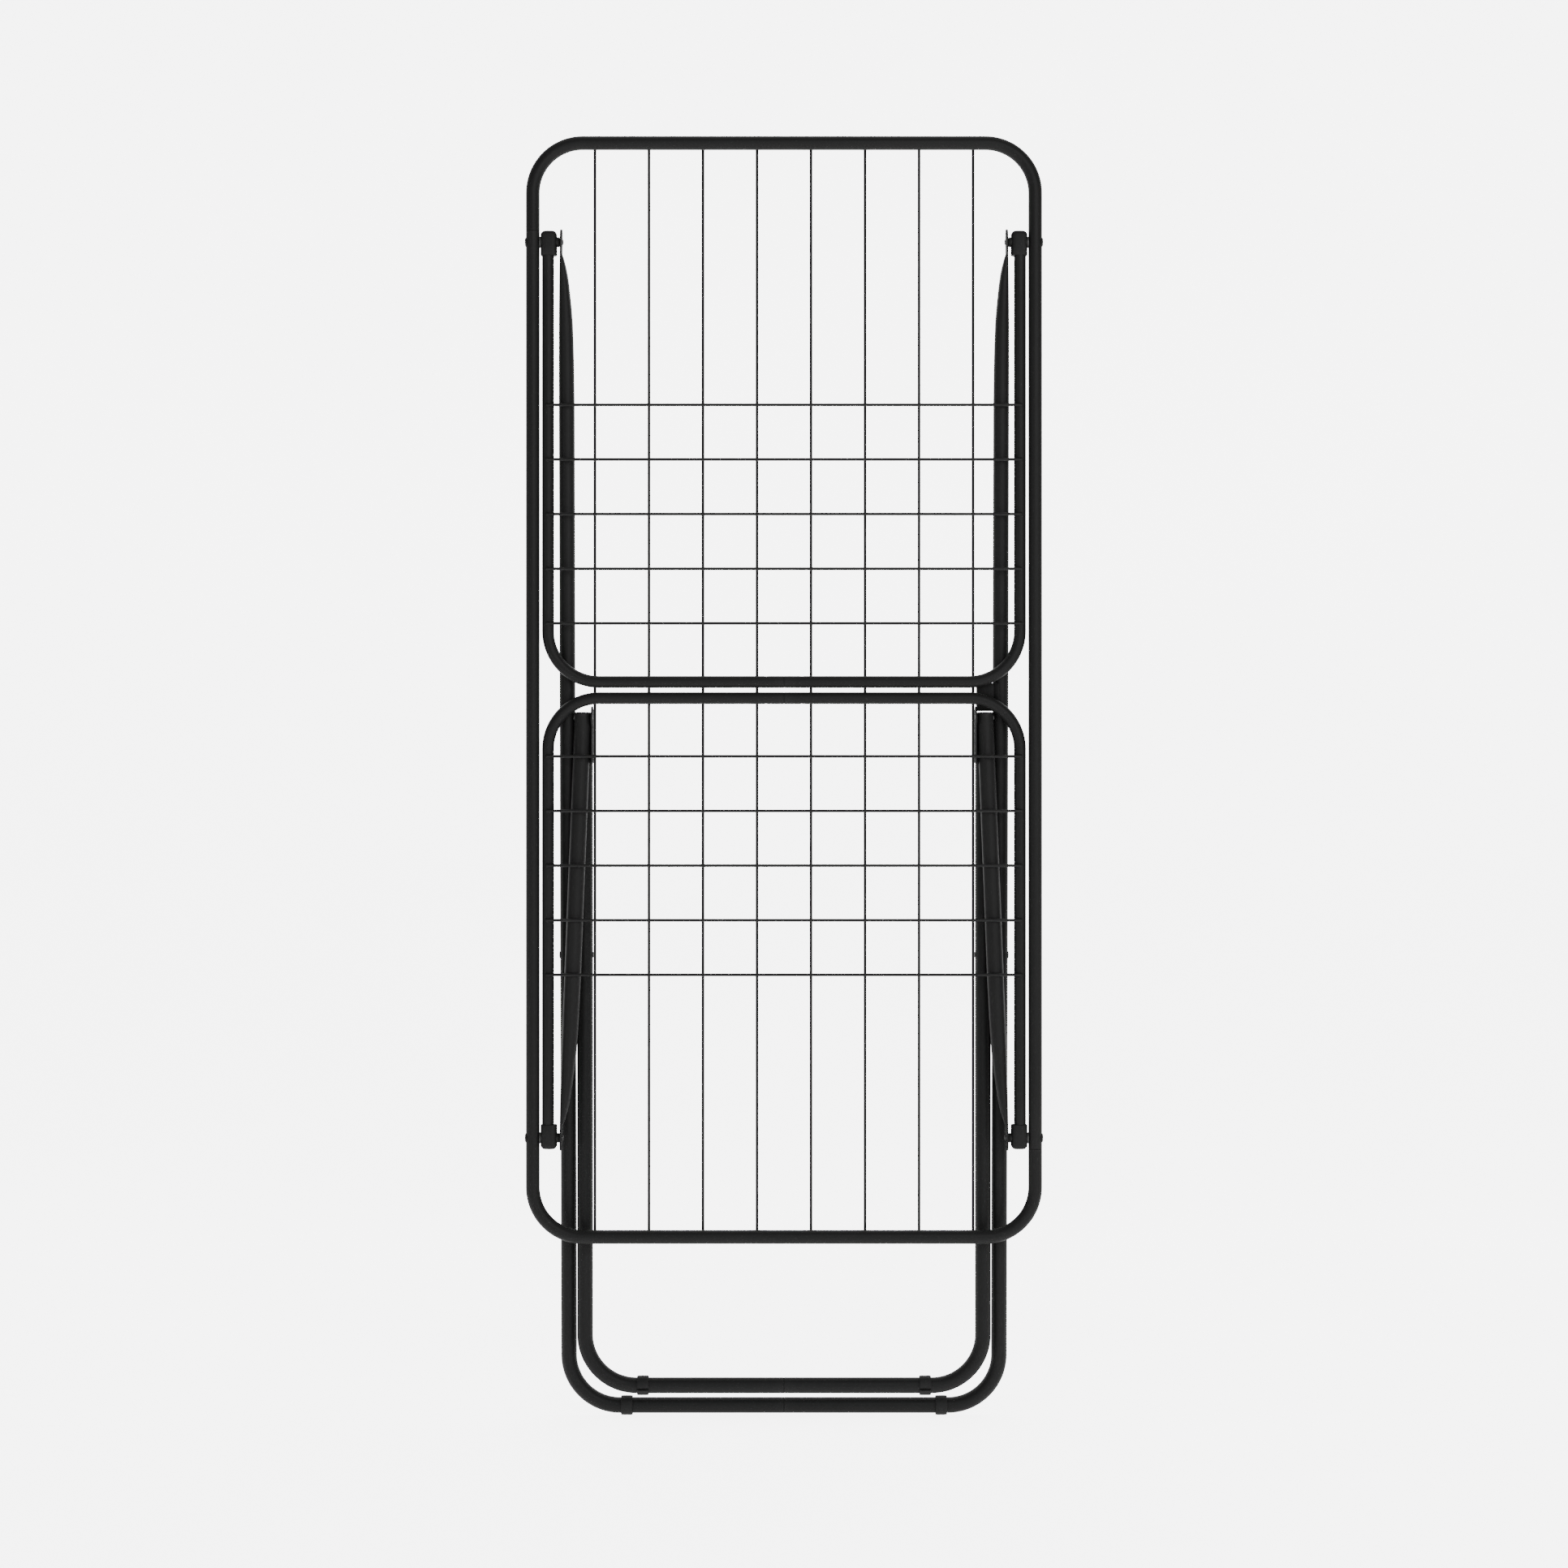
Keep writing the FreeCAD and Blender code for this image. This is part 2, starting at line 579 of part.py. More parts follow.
def fold_catch():
    """Moulded block beside the right outer leg that the folded knee comes to rest under."""
    height = dict(z="-catch_below")
    block_solid = cross_block("fold_catch_block", 1, "ear_inner_face + knee_ear_thickness + knee_clearance",
                              "outer_side", "catch_depth", "catch_height", y="-catch_depth / 2", **height)
    saddle = cylinder("fold_catch_saddle", "leg_tube / 2 + catch_grip + catch_wall", "catch_height",
                      x="outer_side", **height)
    bore = cylinder("fold_catch_bore", "leg_tube / 2 + catch_grip", "catch_height", x="outer_side", **height)
    mouth = block("fold_catch_mouth", "leg_tube", "2 * leg_tube", "catch_height",
                  x="outer_side - leg_tube / 8", y="-leg_tube", **height)
    return cut("fold_catch", fuse("fold_catch_body", [block_solid, saddle]), [bore, mouth])


def inner_leg():
    """U-shaped leg that crosses the outer one, with a moulded knuckle in each upper end."""
    at = dict(lean="inner_leg_lean", y="crossing_y", z="crossing_z")
    for word, side in SIDES:
        name = f"inner_leg_tube_{word}"
        crimps = bar_crimps(name, "-inner_leg_length", 1, "leg_tube", (side,))
        holes = [cross_hole(name + "_crossing_hole", side, "inner_side", "0")]
        leg = tube(name, leg_path(side, "inner_side", "inner_leg_length", "inner_leg_top"), "leg_tube",
                   "leg_wall", holes + crimps)
        keep(name, stand(leg, **at))
        keep(f"knee_knuckle_{word}", stand(knee_knuckle(word, side), **at))
        keep(f"crossing_rivet_inner_{word}", stand(crossing_rivet_inner(word, side), **at))
        ring = foot_ring(f"inner_foot_ring_{word}", side, "inner_side", "inner_ring_inset",
                         "inner_leg_length", "180 + ring_gap_angle", "inner_pad_angle")
        keep(f"inner_foot_ring_{word}", stand(ring, **at))
    crimps = bar_crimps("inner_leg_sleeve", "-inner_leg_length", 1, "leg_tube")
    liner = sleeve("inner_leg_sleeve", "leg_tube", "leg_wall", "bar_sleeve_length", "x", crimps,
                   x="-bar_sleeve_length / 2", z="-inner_leg_length")
    keep("inner_leg_sleeve", stand(liner, **at))


def knee_knuckle(word, side):
    """Plug in an inner leg's top with an ear that reaches forward to the knee pivot."""
    name = f"knee_knuckle_{word}"
    top = "knee_height + knee_plug_top"
    plug = cylinder(name + "_plug", "leg_tube / 2", f"{top} - inner_leg_top",
                    x=f"{side} * inner_side", z="inner_leg_top")
    flat = block(name + "_flat", "2 * leg_tube", "leg_tube", f"{top} - inner_leg_top",
                 x=f"{side} * inner_side - leg_tube", y="knee_plug_front - knee_offset - leg_tube",
                 z="inner_leg_top")
    spigot = cylinder(name + "_spigot", "leg_tube / 2 - leg_wall - sleeve_gap", "knee_spigot",
                      x=f"{side} * inner_side", z="inner_leg_top - knee_spigot")
    span = (side, "ear_inner_face", "ear_inner_face + knee_ear_thickness")
    disc = cross_cylinder(name + "_ear", *span, "knee_ear_radius", y="-knee_offset", z="knee_height")
    strap = cross_block(name + "_strap", *span, "knee_offset + 2 * knee_ear_front",
                        f"{top} - inner_leg_top - leg_wall", y="-(knee_offset + knee_ear_front)",
                        z="inner_leg_top + leg_wall")
    hole = cross_cylinder(name + "_hole", side, "ear_inner_face - leg_tube", "ear_inner_face + leg_tube",
                          "rivet / 2 + rivet_clearance", y="-knee_offset", z="knee_height")
    plug_cut = cut(name + "_scooped", plug, [flat])
    return cut(name, fuse(name + "_body", [plug_cut, spigot, disc, strap]), [hole])


# ---------------------------------------------------------------- braces

def brace(word, side):
    """Tube from the lower hinge to the knee, flattened below and cut square above."""
    name = f"brace_{word}"
    diameter, length = size("brace_tube"), size("brace_length")
    drift = (size("outer_side") - size("knee_side")) / length

    def sideways(distance):
        return size("outer_side") - drift * distance

    start, end = TAPER[-1][0], length + size("brace_end")
    rods = []
    for part, radius in (("rod", diameter / 2), ("bore", diameter / 2 - size("brace_wall"))):
        circle = Part.Wire([Part.Circle(Vector(side * sideways(start), 0, start), Vector(0, 0, 1),
                                        radius).toShape()])
        rod = doc.addObject("Part::Feature", f"{name}_{part}")
        rod.Shape = Part.Face(circle).extrude(Vector(side * (sideways(end) - sideways(start)), 0, end - start))
        rods.append(rod)
    knee_hole = cross_hole(name + "_knee_hole", side, "knee_side", "brace_length")
    hinge_hole = cross_cylinder(name + "_hinge_hole", side, "plate_face - leg_tube", "plate_face + leg_tube",
                                "rivet / 2 + rivet_clearance")
    shells = [taper_shell(name, side, diameter, size("brace_wall"), sideways, 1),
              cut(name + "_upper_shell", rods[0], [rods[1]])]
    solid = fuse(name + "_solid", shells + end_plate(name, side, 1))
    return cut(name, solid, [knee_hole, hinge_hole])


def knee_rivet(word, side):
    """Rivet through a brace's upper end and the knuckle's ear, flush inside."""
    name = f"knee_rivet_{word}"
    outside = "knee_side + brace_tube / 2"
    shank = cross_cylinder(name + "_shank", side, "ear_inner_face", outside, "rivet / 2", z="brace_length")
    head = cross_cylinder(name + "_head", side, outside, f"{outside} + rivet_tail_height",
                          "rivet_tail / 2", z="brace_length")
    return fuse(name, [shank, head])


def braces():
    """Both braces and their knee rivets, leaned back from the lower hinge to the knee."""
    lean = "-atan((knee_y - plane) / (knee_z - lower_hinge))"
    at = dict(lean=lean, y="plane", z="lower_hinge")
    for word, side in SIDES:
        keep(f"brace_{word}", stand(brace(word, side), **at))
        keep(f"knee_rivet_{word}", stand(knee_rivet(word, side), **at))


# ---------------------------------------------------------------- whole airer

def main():
    """Build every sub-part, check it and write it out."""
    frame_half("frame_tube_upper", turned=False)
    frame_half("frame_tube_lower", turned=True)
    for word, side in SIDES:
        frame_sleeve(f"frame_sleeve_{word}", side)
        for level in ("upper", "lower"):
            hinge_rivet(f"hinge_rivet_{level}_{word}", side, f"{level}_hinge")
    hinge_washers()
    long_wires()
    wing("upper_wing", "upper_hinge", -1)
    wing("lower_wing", "lower_hinge", 1)
    outer_leg()
    inner_leg()
    braces()
    doc.recompute()

    failed = [obj.Name for obj in doc.Objects if {"Invalid", "Error"} & set(obj.State)]
    failed += [label for label, obj in subparts.items()
               if obj.Shape.isNull() or not obj.Shape.isValid() or not obj.Shape.Solids]
    if failed:
        raise RuntimeError("failed: " + ", ".join(failed))
    os.makedirs("parts", exist_ok=True)
    for label, obj in subparts.items():
        obj.Shape.exportStep(f"parts/{label}.step")
        print(f"{label:30s} {len(obj.Shape.Solids)} solid(s) {obj.Shape.Volume:10.0f} mm3")


main()
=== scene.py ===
"""Looks of the folded clothes airer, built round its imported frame. Metres, +Z up, front towards -Y."""

import json
import logging
import math
from collections.abc import Callable, Iterable, Sequence
from dataclasses import dataclass
from enum import Enum

import bmesh
import bpy
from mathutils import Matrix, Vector

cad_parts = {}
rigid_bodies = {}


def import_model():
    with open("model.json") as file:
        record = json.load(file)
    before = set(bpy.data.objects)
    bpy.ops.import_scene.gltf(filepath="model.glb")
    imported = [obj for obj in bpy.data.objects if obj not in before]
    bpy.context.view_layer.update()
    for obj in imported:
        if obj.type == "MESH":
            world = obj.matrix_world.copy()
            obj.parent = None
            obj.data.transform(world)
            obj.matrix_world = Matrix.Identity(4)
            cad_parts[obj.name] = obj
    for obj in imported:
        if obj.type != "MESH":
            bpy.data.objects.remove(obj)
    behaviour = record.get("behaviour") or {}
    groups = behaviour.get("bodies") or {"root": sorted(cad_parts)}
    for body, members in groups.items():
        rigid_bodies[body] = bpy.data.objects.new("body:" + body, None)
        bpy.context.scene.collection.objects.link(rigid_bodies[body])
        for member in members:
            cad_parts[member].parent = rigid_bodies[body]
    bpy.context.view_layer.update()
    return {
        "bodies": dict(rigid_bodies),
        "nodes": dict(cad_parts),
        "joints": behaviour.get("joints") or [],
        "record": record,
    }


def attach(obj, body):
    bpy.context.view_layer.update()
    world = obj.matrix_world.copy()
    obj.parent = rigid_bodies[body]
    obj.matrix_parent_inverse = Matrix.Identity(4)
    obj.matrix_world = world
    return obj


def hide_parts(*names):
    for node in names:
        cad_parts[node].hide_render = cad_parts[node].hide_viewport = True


LOG = logging.getLogger("airer")
MM = 0.001
Point = tuple[float, float, float]
Colour = tuple[float, float, float, float]
Solid = tuple[list[Vector], list[tuple[int, ...]]]


class Side(Enum):
    """The two sides of the airer, as the sign of X."""

    LEFT = -1
    RIGHT = 1

    @property
    def word(self) -> str:
        """Lower-case name used in node names."""
        return self.name.lower()


class Away(Enum):
    """Which way a wing lies from its hinge, as the sign of Z."""

    DOWN = -1
    UP = 1


# ------------------------------------------------------------------ finishes


def socket(tree: bpy.types.NodeTree, name: str, kind: str, way: str = "INPUT") -> None:
    """Add one named socket to a node group's interface."""
    tree.interface.new_socket(name, in_out=way, socket_type=kind)


def feed(
    tree: bpy.types.NodeTree, value: bpy.types.NodeSocket | float, end: bpy.types.NodeSocket
) -> None:
    """Link a socket to an input, or set the input to a number.

    Args:
        tree: the tree that holds both.
        value: the socket or the number.
        end: the input.
    """
    if isinstance(value, bpy.types.NodeSocket):
        tree.links.new(value, end)
    else:
        end.default_value = value


def maths(
    tree: bpy.types.NodeTree, operation: str, *values: bpy.types.NodeSocket | float
) -> bpy.types.NodeSocket:
    """Add a math node.

    Args:
        tree: the tree it goes in.
        operation: the operation's name.
        values: a socket or a number for each input.

    Returns:
        The node's output.
    """
    node = tree.nodes.new("ShaderNodeMath")
    node.operation = operation
    for value, end in zip(values, node.inputs):
        feed(tree, value, end)
    return node.outputs["Value"]


def remapped(
    tree: bpy.types.NodeTree,
    value: bpy.types.NodeSocket,
    target: tuple[float, float],
    source: tuple[float, float] = (0.0, 1.0),
) -> bpy.types.NodeSocket:
    """Add a node that carries a value from one range to another.

    Args:
        tree: the tree it goes in.
        value: the value.
        target: the range it ends in.
        source: the range it starts in.

    Returns:
        The node's output.
    """
    node = tree.nodes.new("ShaderNodeMapRange")
    for word, limits in (("From", source), ("To", target)):
        for end, limit in zip(("Min", "Max"), limits):
            node.inputs[f"{word} {end}"].default_value = limit
    tree.links.new(value, node.inputs["Value"])
    return node.outputs["Result"]


def noise(
    tree: bpy.types.NodeTree,
    place: bpy.types.NodeSocket,
    scale: bpy.types.NodeSocket | float,
    detail: float,
) -> bpy.types.NodeSocket:
    """Add a noise texture.

    Args:
        tree: the tree it goes in.
        place: the coordinates it is read at.
        scale: its scale, as a socket or a number.
        detail: its detail.

    Returns:
        The noise's level.
    """
    node = tree.nodes.new("ShaderNodeTexNoise")
    node.inputs["Detail"].default_value = detail
    feed(tree, scale, node.inputs["Scale"])
    tree.links.new(place, node.inputs["Vector"])
    return node.outputs["Fac"]


def surface_group() -> bpy.types.NodeTree:
    """Make the group that every finish shares: cloudy tone, rubbed edges, grain and roughness.

    Returns:
        A shader node group with colour, roughness and normal outputs.
    """
    tree = bpy.data.node_groups.new("coated_surface", "ShaderNodeTree")
    for name in ("Tone", "Rubbed Tone"):
        socket(tree, name, "NodeSocketColor")
    for name in ("Base Roughness", "Grain Scale", "Grain Height"):
        socket(tree, name, "NodeSocketFloat")
    for name, kind in (("Color", "Color"), ("Roughness", "Float"), ("Normal", "Vector")):
        socket(tree, name, f"NodeSocket{kind}", "OUTPUT")
    nodes, link = tree.nodes, tree.links.new
    given, result = nodes.new("NodeGroupInput"), nodes.new("NodeGroupOutput")
    place = nodes.new("ShaderNodeTexCoord").outputs["Object"]

    cloud = remapped(tree, noise(tree, place, 9.0, 4.0), (0.86, 1.14))
    part = nodes.new("ShaderNodeAttribute")
    part.attribute_name = "part_tint"
    tone = nodes.new("ShaderNodeVectorMath")
    tone.operation = "SCALE"
    link(given.outputs["Tone"], tone.inputs[0])
    link(maths(tree, "ADD", cloud, part.outputs["Fac"]), tone.inputs["Scale"])

    shape = nodes.new("ShaderNodeNewGeometry").outputs["Pointiness"]
    rubbed = nodes.new("ShaderNodeMix")
    rubbed.data_type = "RGBA"
    link(remapped(tree, shape, (0.0, 0.5), (0.53, 0.62)), rubbed.inputs["Factor"])
    link(tone.outputs["Vector"], rubbed.inputs["A"])
    link(given.outputs["Rubbed Tone"], rubbed.inputs["B"])
    link(rubbed.outputs["Result"], result.inputs["Color"])

    handling = remapped(tree, noise(tree, place, 55.0, 5.0), (-0.07, 0.07))
    link(maths(tree, "ADD", given.outputs["Base Roughness"], handling), result.inputs["Roughness"])

    grain = noise(tree, place, given.outputs["Grain Scale"], 2.0)
    bump = nodes.new("ShaderNodeBump")
    bump.inputs["Strength"].default_value = 0.6
    bump.inputs["Distance"].default_value = 1.0
    link(maths(tree, "MULTIPLY", grain, given.outputs["Grain Height"]), bump.inputs["Height"])
    link(bump.outputs["Normal"], result.inputs["Normal"])
    return tree


@dataclass(frozen=True)
class Finish:
    """One surface finish: a black coat, a plastic or bare steel."""

    name: str
    tone: Colour
    rubbed: Colour
    roughness: float
    grain_scale: float
    grain_height: float
    specular: float = 0.5
    metallic: float = 0.0

    def material(self, surface: bpy.types.NodeTree) -> bpy.types.Material:
        """Make the finish's material.

        Args:
            surface: the shared surface group.

        Returns:
            The new material.
        """
        made = bpy.data.materials.new(self.name)
        made.use_nodes = True
        made.diffuse_color = self.tone
        nodes, link = made.node_tree.nodes, made.node_tree.links.new
        shader = nodes["Principled BSDF"]
        shader.inputs["Metallic"].default_value = self.metallic
        shader.inputs["Specular IOR Level"].default_value = self.specular
        group = nodes.new("ShaderNodeGroup")
        group.node_tree = surface
        values = {
            "Tone": self.tone,
            "Rubbed Tone": self.rubbed,
            "Base Roughness": self.roughness,
            "Grain Scale": self.grain_scale,
            "Grain Height": self.grain_height,
        }
        for name, value in values.items():
            group.inputs[name].default_value = value
        for name, end in (("Color", "Base Color"), ("Roughness", "Roughness"), ("Normal", "Normal")):
            link(group.outputs[name], shader.inputs[end])
        return made


def grey(level: float) -> Colour:
    """Return a neutral colour of one linear level."""
    return (level, level, level, 1.0)


@dataclass(frozen=True)
class Finishes:
    """The airer's materials, by record slot."""

    tube_paint: bpy.types.Material
    wire_paint: bpy.types.Material
    rivet_steel: bpy.types.Material
    liner_steel: bpy.types.Material
    hinge_plastic: bpy.types.Material
    foot_plastic: bpy.types.Material

    @classmethod
    def make(cls) -> "Finishes":
        """Make every material.

        Returns:
            The materials.
        """
        shared = surface_group()
        coats = (
            Finish("tube_paint", grey(0.007), grey(0.018), 0.5, 700.0, 0.03 * MM, 0.1),
            Finish("wire_paint", grey(0.008), grey(0.018), 0.5, 900.0, 0.03 * MM, 0.1),
            Finish("rivet_steel", grey(0.018), grey(0.05), 0.4, 600.0, 0.03 * MM, 0.25),
            Finish("liner_steel", grey(0.35), grey(0.5), 0.4, 1200.0, 0.03 * MM, 0.5, 1.0),
            # hinge plastic tone is set darker than the foot plastic's: partly its own black, partly painted
            # shade so the fold catch, which sits in shadow, comes out nearly black
            Finish("hinge_plastic", grey(0.007), grey(0.015), 0.6, 1500.0, 0.05 * MM, 0.12),
            Finish("foot_plastic", grey(0.009), grey(0.018), 0.6, 1500.0, 0.05 * MM, 0.12),
        )
        return cls(**{coat.name: coat.material(shared) for coat in coats})


# ------------------------------------------------------------------ meshes


@dataclass(frozen=True)
class Station:
    """One cross-section of a swept solid: a superellipse on two axes."""

    centre: Vector
    across: Vector
    along: Vector
    half_across: float
    half_along: float
    squareness: float = 2.0

    def ring(self, count: int) -> list[Vector]:
        """Trace the section.

        Args:
            count: number of points.

        Returns:
            The points round it.
        """
        points = []
        power = 2.0 / self.squareness
        for index in range(count):
            angle = 2.0 * math.pi * index / count
            c, s = math.cos(angle), math.sin(angle)
            points.append(
                self.centre
                + self.across * (self.half_across * math.copysign(abs(c) ** power, c))
                + self.along * (self.half_along * math.copysign(abs(s) ** power, s))
            )
        return points


def sweep(stations: Sequence[Station], count: int = 48) -> Solid:
    """Skin a closed solid over a row of sections.

    Args:
        stations: the sections in order along the solid.
        count: points round each section.

    Returns:
        The vertices and the faces.
    """
    points: list[Vector] = []
    faces: list[tuple[int, ...]] = []
    for station in stations:
        points += station.ring(count)
    for row in range(len(stations) - 1):
        for column in range(count):
            after = (column + 1) % count
            a, b = row * count, (row + 1) * count
            faces.append((a + column, a + after, b + after, b + column))
    for row, station in ((0, stations[0]), (len(stations) - 1, stations[-1])):
        pole = len(points)
        points.append(station.centre.copy())
        base = row * count
        faces += [(base + i, base + (i + 1) % count, pole) for i in range(count)]
    return points, faces


def spun(centre: Vector, axis: Vector, profile: Iterable[tuple[float, float]]) -> list[Station]:
    """Return the stations of a round solid.

    Args:
        centre: the point the distances are counted from.
        axis: unit direction of the solid.
        profile: distance along the axis and radius there, in order.

    Returns:
        One round station per profile point.
    """
    across = axis.orthogonal().normalized()
    along = axis.cross(across)
    return [Station(centre + axis * d, across, along, r, r) for d, r in profile]


def quarter(steps: int, last: bool = True) -> list[float]:
    """Return the angles of a quarter turn's equal steps, past its start."""
    return [math.pi / 2 * step / steps for step in range(1, steps + last)]


def domed(length: float, radius: float, rounding: float, foot: float = 0.0) -> list[tuple[float, float]]:
    """Return a round profile with a rounded far rim and an optional sunk foot.

    Args:
        length: height of the solid.
        radius: its radius.
        rounding: radius of the rim's curve.
        foot: depth below zero at which it starts.

    Returns:
        Distances and radii for spun().
    """
    profile = [(-foot, radius), (length - rounding, radius)]
    for angle in quarter(8):
        height = length - rounding * (1 - math.sin(angle))
        profile.append((height, radius - rounding * (1 - math.cos(angle))))
    return profile


def new_piece(
    name: str,
    parts: Iterable[Solid],
    material: bpy.types.Material,
    sharp: float = 38.0,
) -> bpy.types.Object:
    """Make an object from one or more closed solids.

    Args:
        name: the object's name.
        parts: vertices and faces of each solid.
        material: its material.
        sharp: angle in degrees past which an edge stays sharp.

    Returns:
        The object, linked to the scene.
    """
    points: list[Vector] = []
    faces: list[tuple[int, ...]] = []
    for part_points, part_faces in parts:
        base = len(points)
        points += part_points
        faces += [tuple(base + i for i in face) for face in part_faces]
    mesh = bpy.data.meshes.new(name)
    mesh.from_pydata(points, [], faces)
    tidy = bmesh.new()
    tidy.from_mesh(mesh)
    bmesh.ops.recalc_face_normals(tidy, faces=tidy.faces)
    tidy.to_mesh(mesh)
    tidy.free()
    mesh.materials.append(material)
    mesh.shade_smooth()
    mesh.set_sharp_from_angle(angle=math.radians(sharp))
    piece = bpy.data.objects.new(name, mesh)
    bpy.context.scene.collection.objects.link(piece)
    return piece


def dented(points: Iterable[Vector], centres: Iterable[Vector], radius: float) -> None:
    """Push the points that lie inside a ball out to its surface, for every ball.

    Args:
        points: the points, which are moved in place.
        centres: the balls' centres.
        radius: the balls' radius.
    """
    for centre in centres:
        for point in points:
            out = point - centre
            if out.length < radius:
                point += out.normalized() * (radius - out.length)


def hooked_path(
    start: float, bar: float, side_x: float, bend: float, fine: Sequence[float]
) -> list[tuple[Vector, Vector]]:
    """Trace a side run, a quarter bend and half a bar, in the XZ plane, on the +X side.

    Args:
        start: height where the side run begins.
        bar: height of the bar, above or below the start.
        side_x: distance of the side run from the middle.
        bend: radius of the bend.
        fine: extra distances from the middle to place a section at, on the bar.

    Returns:
        Points and the normals that point out of the bend.
    """
    way = 1.0 if bar > start else -1.0
    turn_z = bar - way * bend
    path = []
    steps = 12
    for step in range(steps + 1):
        height = start + (turn_z - start) * step / steps
        path.append((Vector((side_x, 0, height)), Vector((1, 0, 0))))
    for angle in quarter(24):
        out = Vector((math.cos(angle), 0, way * math.sin(angle)))
        path.append((Vector((side_x - bend, 0, turn_z)) + out * bend, out))
    for x in sorted(set(fine) | {0.0, 0.3 * MM, 0.1, 0.06}, reverse=True):
        path.append((Vector((x, 0, bar)), Vector((0, 0, way))))
    return path


@dataclass(frozen=True)
class Leaning:
    """A frame of reference hung on a hinge and leaned about X."""

    y: float
    z: float
    lean: float = 0.0

    def put(self, point: Vector) -> Vector:
        """Carry a point of the leaning part into the airer's frame."""
        c, s = math.cos(math.radians(self.lean)), math.sin(math.radians(self.lean))
        y, z = point.y * c - point.z * s, point.y * s + point.z * c
        return Vector((point.x, self.y + y, self.z + z))

    def put_all(self, solid: Solid, side: Side) -> Solid:
        """Carry a solid into the airer's frame, mirrored first when it is for the left."""
        points, faces = solid
        return [self.put(Vector((p.x * side.value, p.y, p.z))) for p in points], faces


# ------------------------------------------------------------------ rows of repeated parts


class RowTree:
    """Geometry Nodes tree that repeats its own mesh along a straight row."""

    tint = 0.12

    def __init__(self) -> None:
        """Build the tree once, for every row."""
        tree = bpy.data.node_groups.new("row_of_parts", "GeometryNodeTree")
        socket(tree, "Part", "NodeSocketGeometry")
        for name in ("Start", "Step"):
            socket(tree, name, "NodeSocketVector")
        for name in ("Count", "Seed"):
            socket(tree, name, "NodeSocketInt")
        socket(tree, "Material", "NodeSocketMaterial")
        socket(tree, "Row", "NodeSocketGeometry", "OUTPUT")
        nodes, link = tree.nodes, tree.links.new
        given, result = nodes.new("NodeGroupInput"), nodes.new("NodeGroupOutput")
        line = nodes.new("GeometryNodeMeshLine")
        link(given.outputs["Count"], line.inputs["Count"])
        link(given.outputs["Start"], line.inputs["Start Location"])
        link(given.outputs["Step"], line.inputs["Offset"])
        place = nodes.new("GeometryNodeInstanceOnPoints")
        link(line.outputs["Mesh"], place.inputs["Points"])
        link(given.outputs["Part"], place.inputs["Instance"])
        chance = nodes.new("FunctionNodeRandomValue")
        chance.data_type = "FLOAT"
        chance.inputs[2].default_value = -self.tint
        chance.inputs[3].default_value = self.tint
        link(given.outputs["Seed"], chance.inputs["Seed"])
        store = nodes.new("GeometryNodeStoreNamedAttribute")
        store.data_type = "FLOAT"
        store.domain = "INSTANCE"
        store.inputs["Name"].default_value = "part_tint"
        link(place.outputs["Instances"], store.inputs["Geometry"])
        link(chance.outputs[1], store.inputs["Value"])
        real = nodes.new("GeometryNodeRealizeInstances")
        link(store.outputs["Geometry"], real.inputs["Geometry"])
        coat = nodes.new("GeometryNodeSetMaterial")
        link(real.outputs["Geometry"], coat.inputs["Geometry"])
        link(given.outputs["Material"], coat.inputs["Material"])
        link(coat.outputs["Geometry"], result.inputs["Row"])
        self.tree = tree

    def apply(self, piece: bpy.types.Object, count: int, start: Point, step: Point, seed: int) -> None:
        """Turn a piece into a row of itself and bake the row into its mesh.

        Args:
            piece: the object whose mesh is repeated.
            count: number of copies.
            start: offset of the first copy.
            step: offset between copies.
            seed: seed of the small differences in tone.
        """
        material = piece.data.materials[0]
        modifier = piece.modifiers.new("row", "NODES")
        modifier.node_group = self.tree
        values = {"Count": count, "Start": start, "Step": step, "Seed": seed, "Material": material}
        for item in self.tree.interface.items_tree:
            if item.in_out == "INPUT" and item.name in values:
                modifier[item.identifier] = values[item.name]
        piece.update_tag()
        graph = bpy.context.evaluated_depsgraph_get()
        graph.update()
        mesh = bpy.data.meshes.new_from_object(piece.evaluated_get(graph))
        piece.modifiers.remove(modifier)
        piece.data = mesh


# ------------------------------------------------------------------ the airer's parts


@dataclass(frozen=True)
class Sizes:
    """Sizes that several sub-assemblies share."""

    plane: float
    upper_hinge: float
    lower_hinge: float
    knee: Point
    frame_side: float = 277.4 * MM
    frame_radius: float = 7.6 * MM
    wing_side: float = 260.6 * MM
    wing_radius: float = 6.55 * MM
    outer_side: float = 240.3 * MM
    inner_side: float = 221.5 * MM
    leg_radius: float = 8.75 * MM
    plate_face: float = 247.05 * MM
    plate_half: float = 1.2 * MM
    wire_radius: float = 1.6 * MM
    weld_sink: float = 0.4 * MM
    rivet_radius: float = 2.5 * MM
    thrust_gap: float = 0.15 * MM

    @classmethod
    def from_record(cls, record: dict) -> "Sizes":
        """Take the hinges' places from the record's joints.

        Args:
            record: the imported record.

        Returns:
            The sizes.
        """
        at = {joint["name"]: joint["pos_m"] for joint in record["behaviour"]["joints"]}
        return cls(
            plane=at["upper_wing_swing"][1],
            upper_hinge=at["upper_wing_swing"][2],
            lower_hinge=at["lower_wing_swing"][2],
            knee=tuple(at["knee_fold"]),
        )

    @property
    def middle(self) -> float:
        """Height of the middle of the main frame."""
        return (self.upper_hinge + self.lower_hinge) / 2


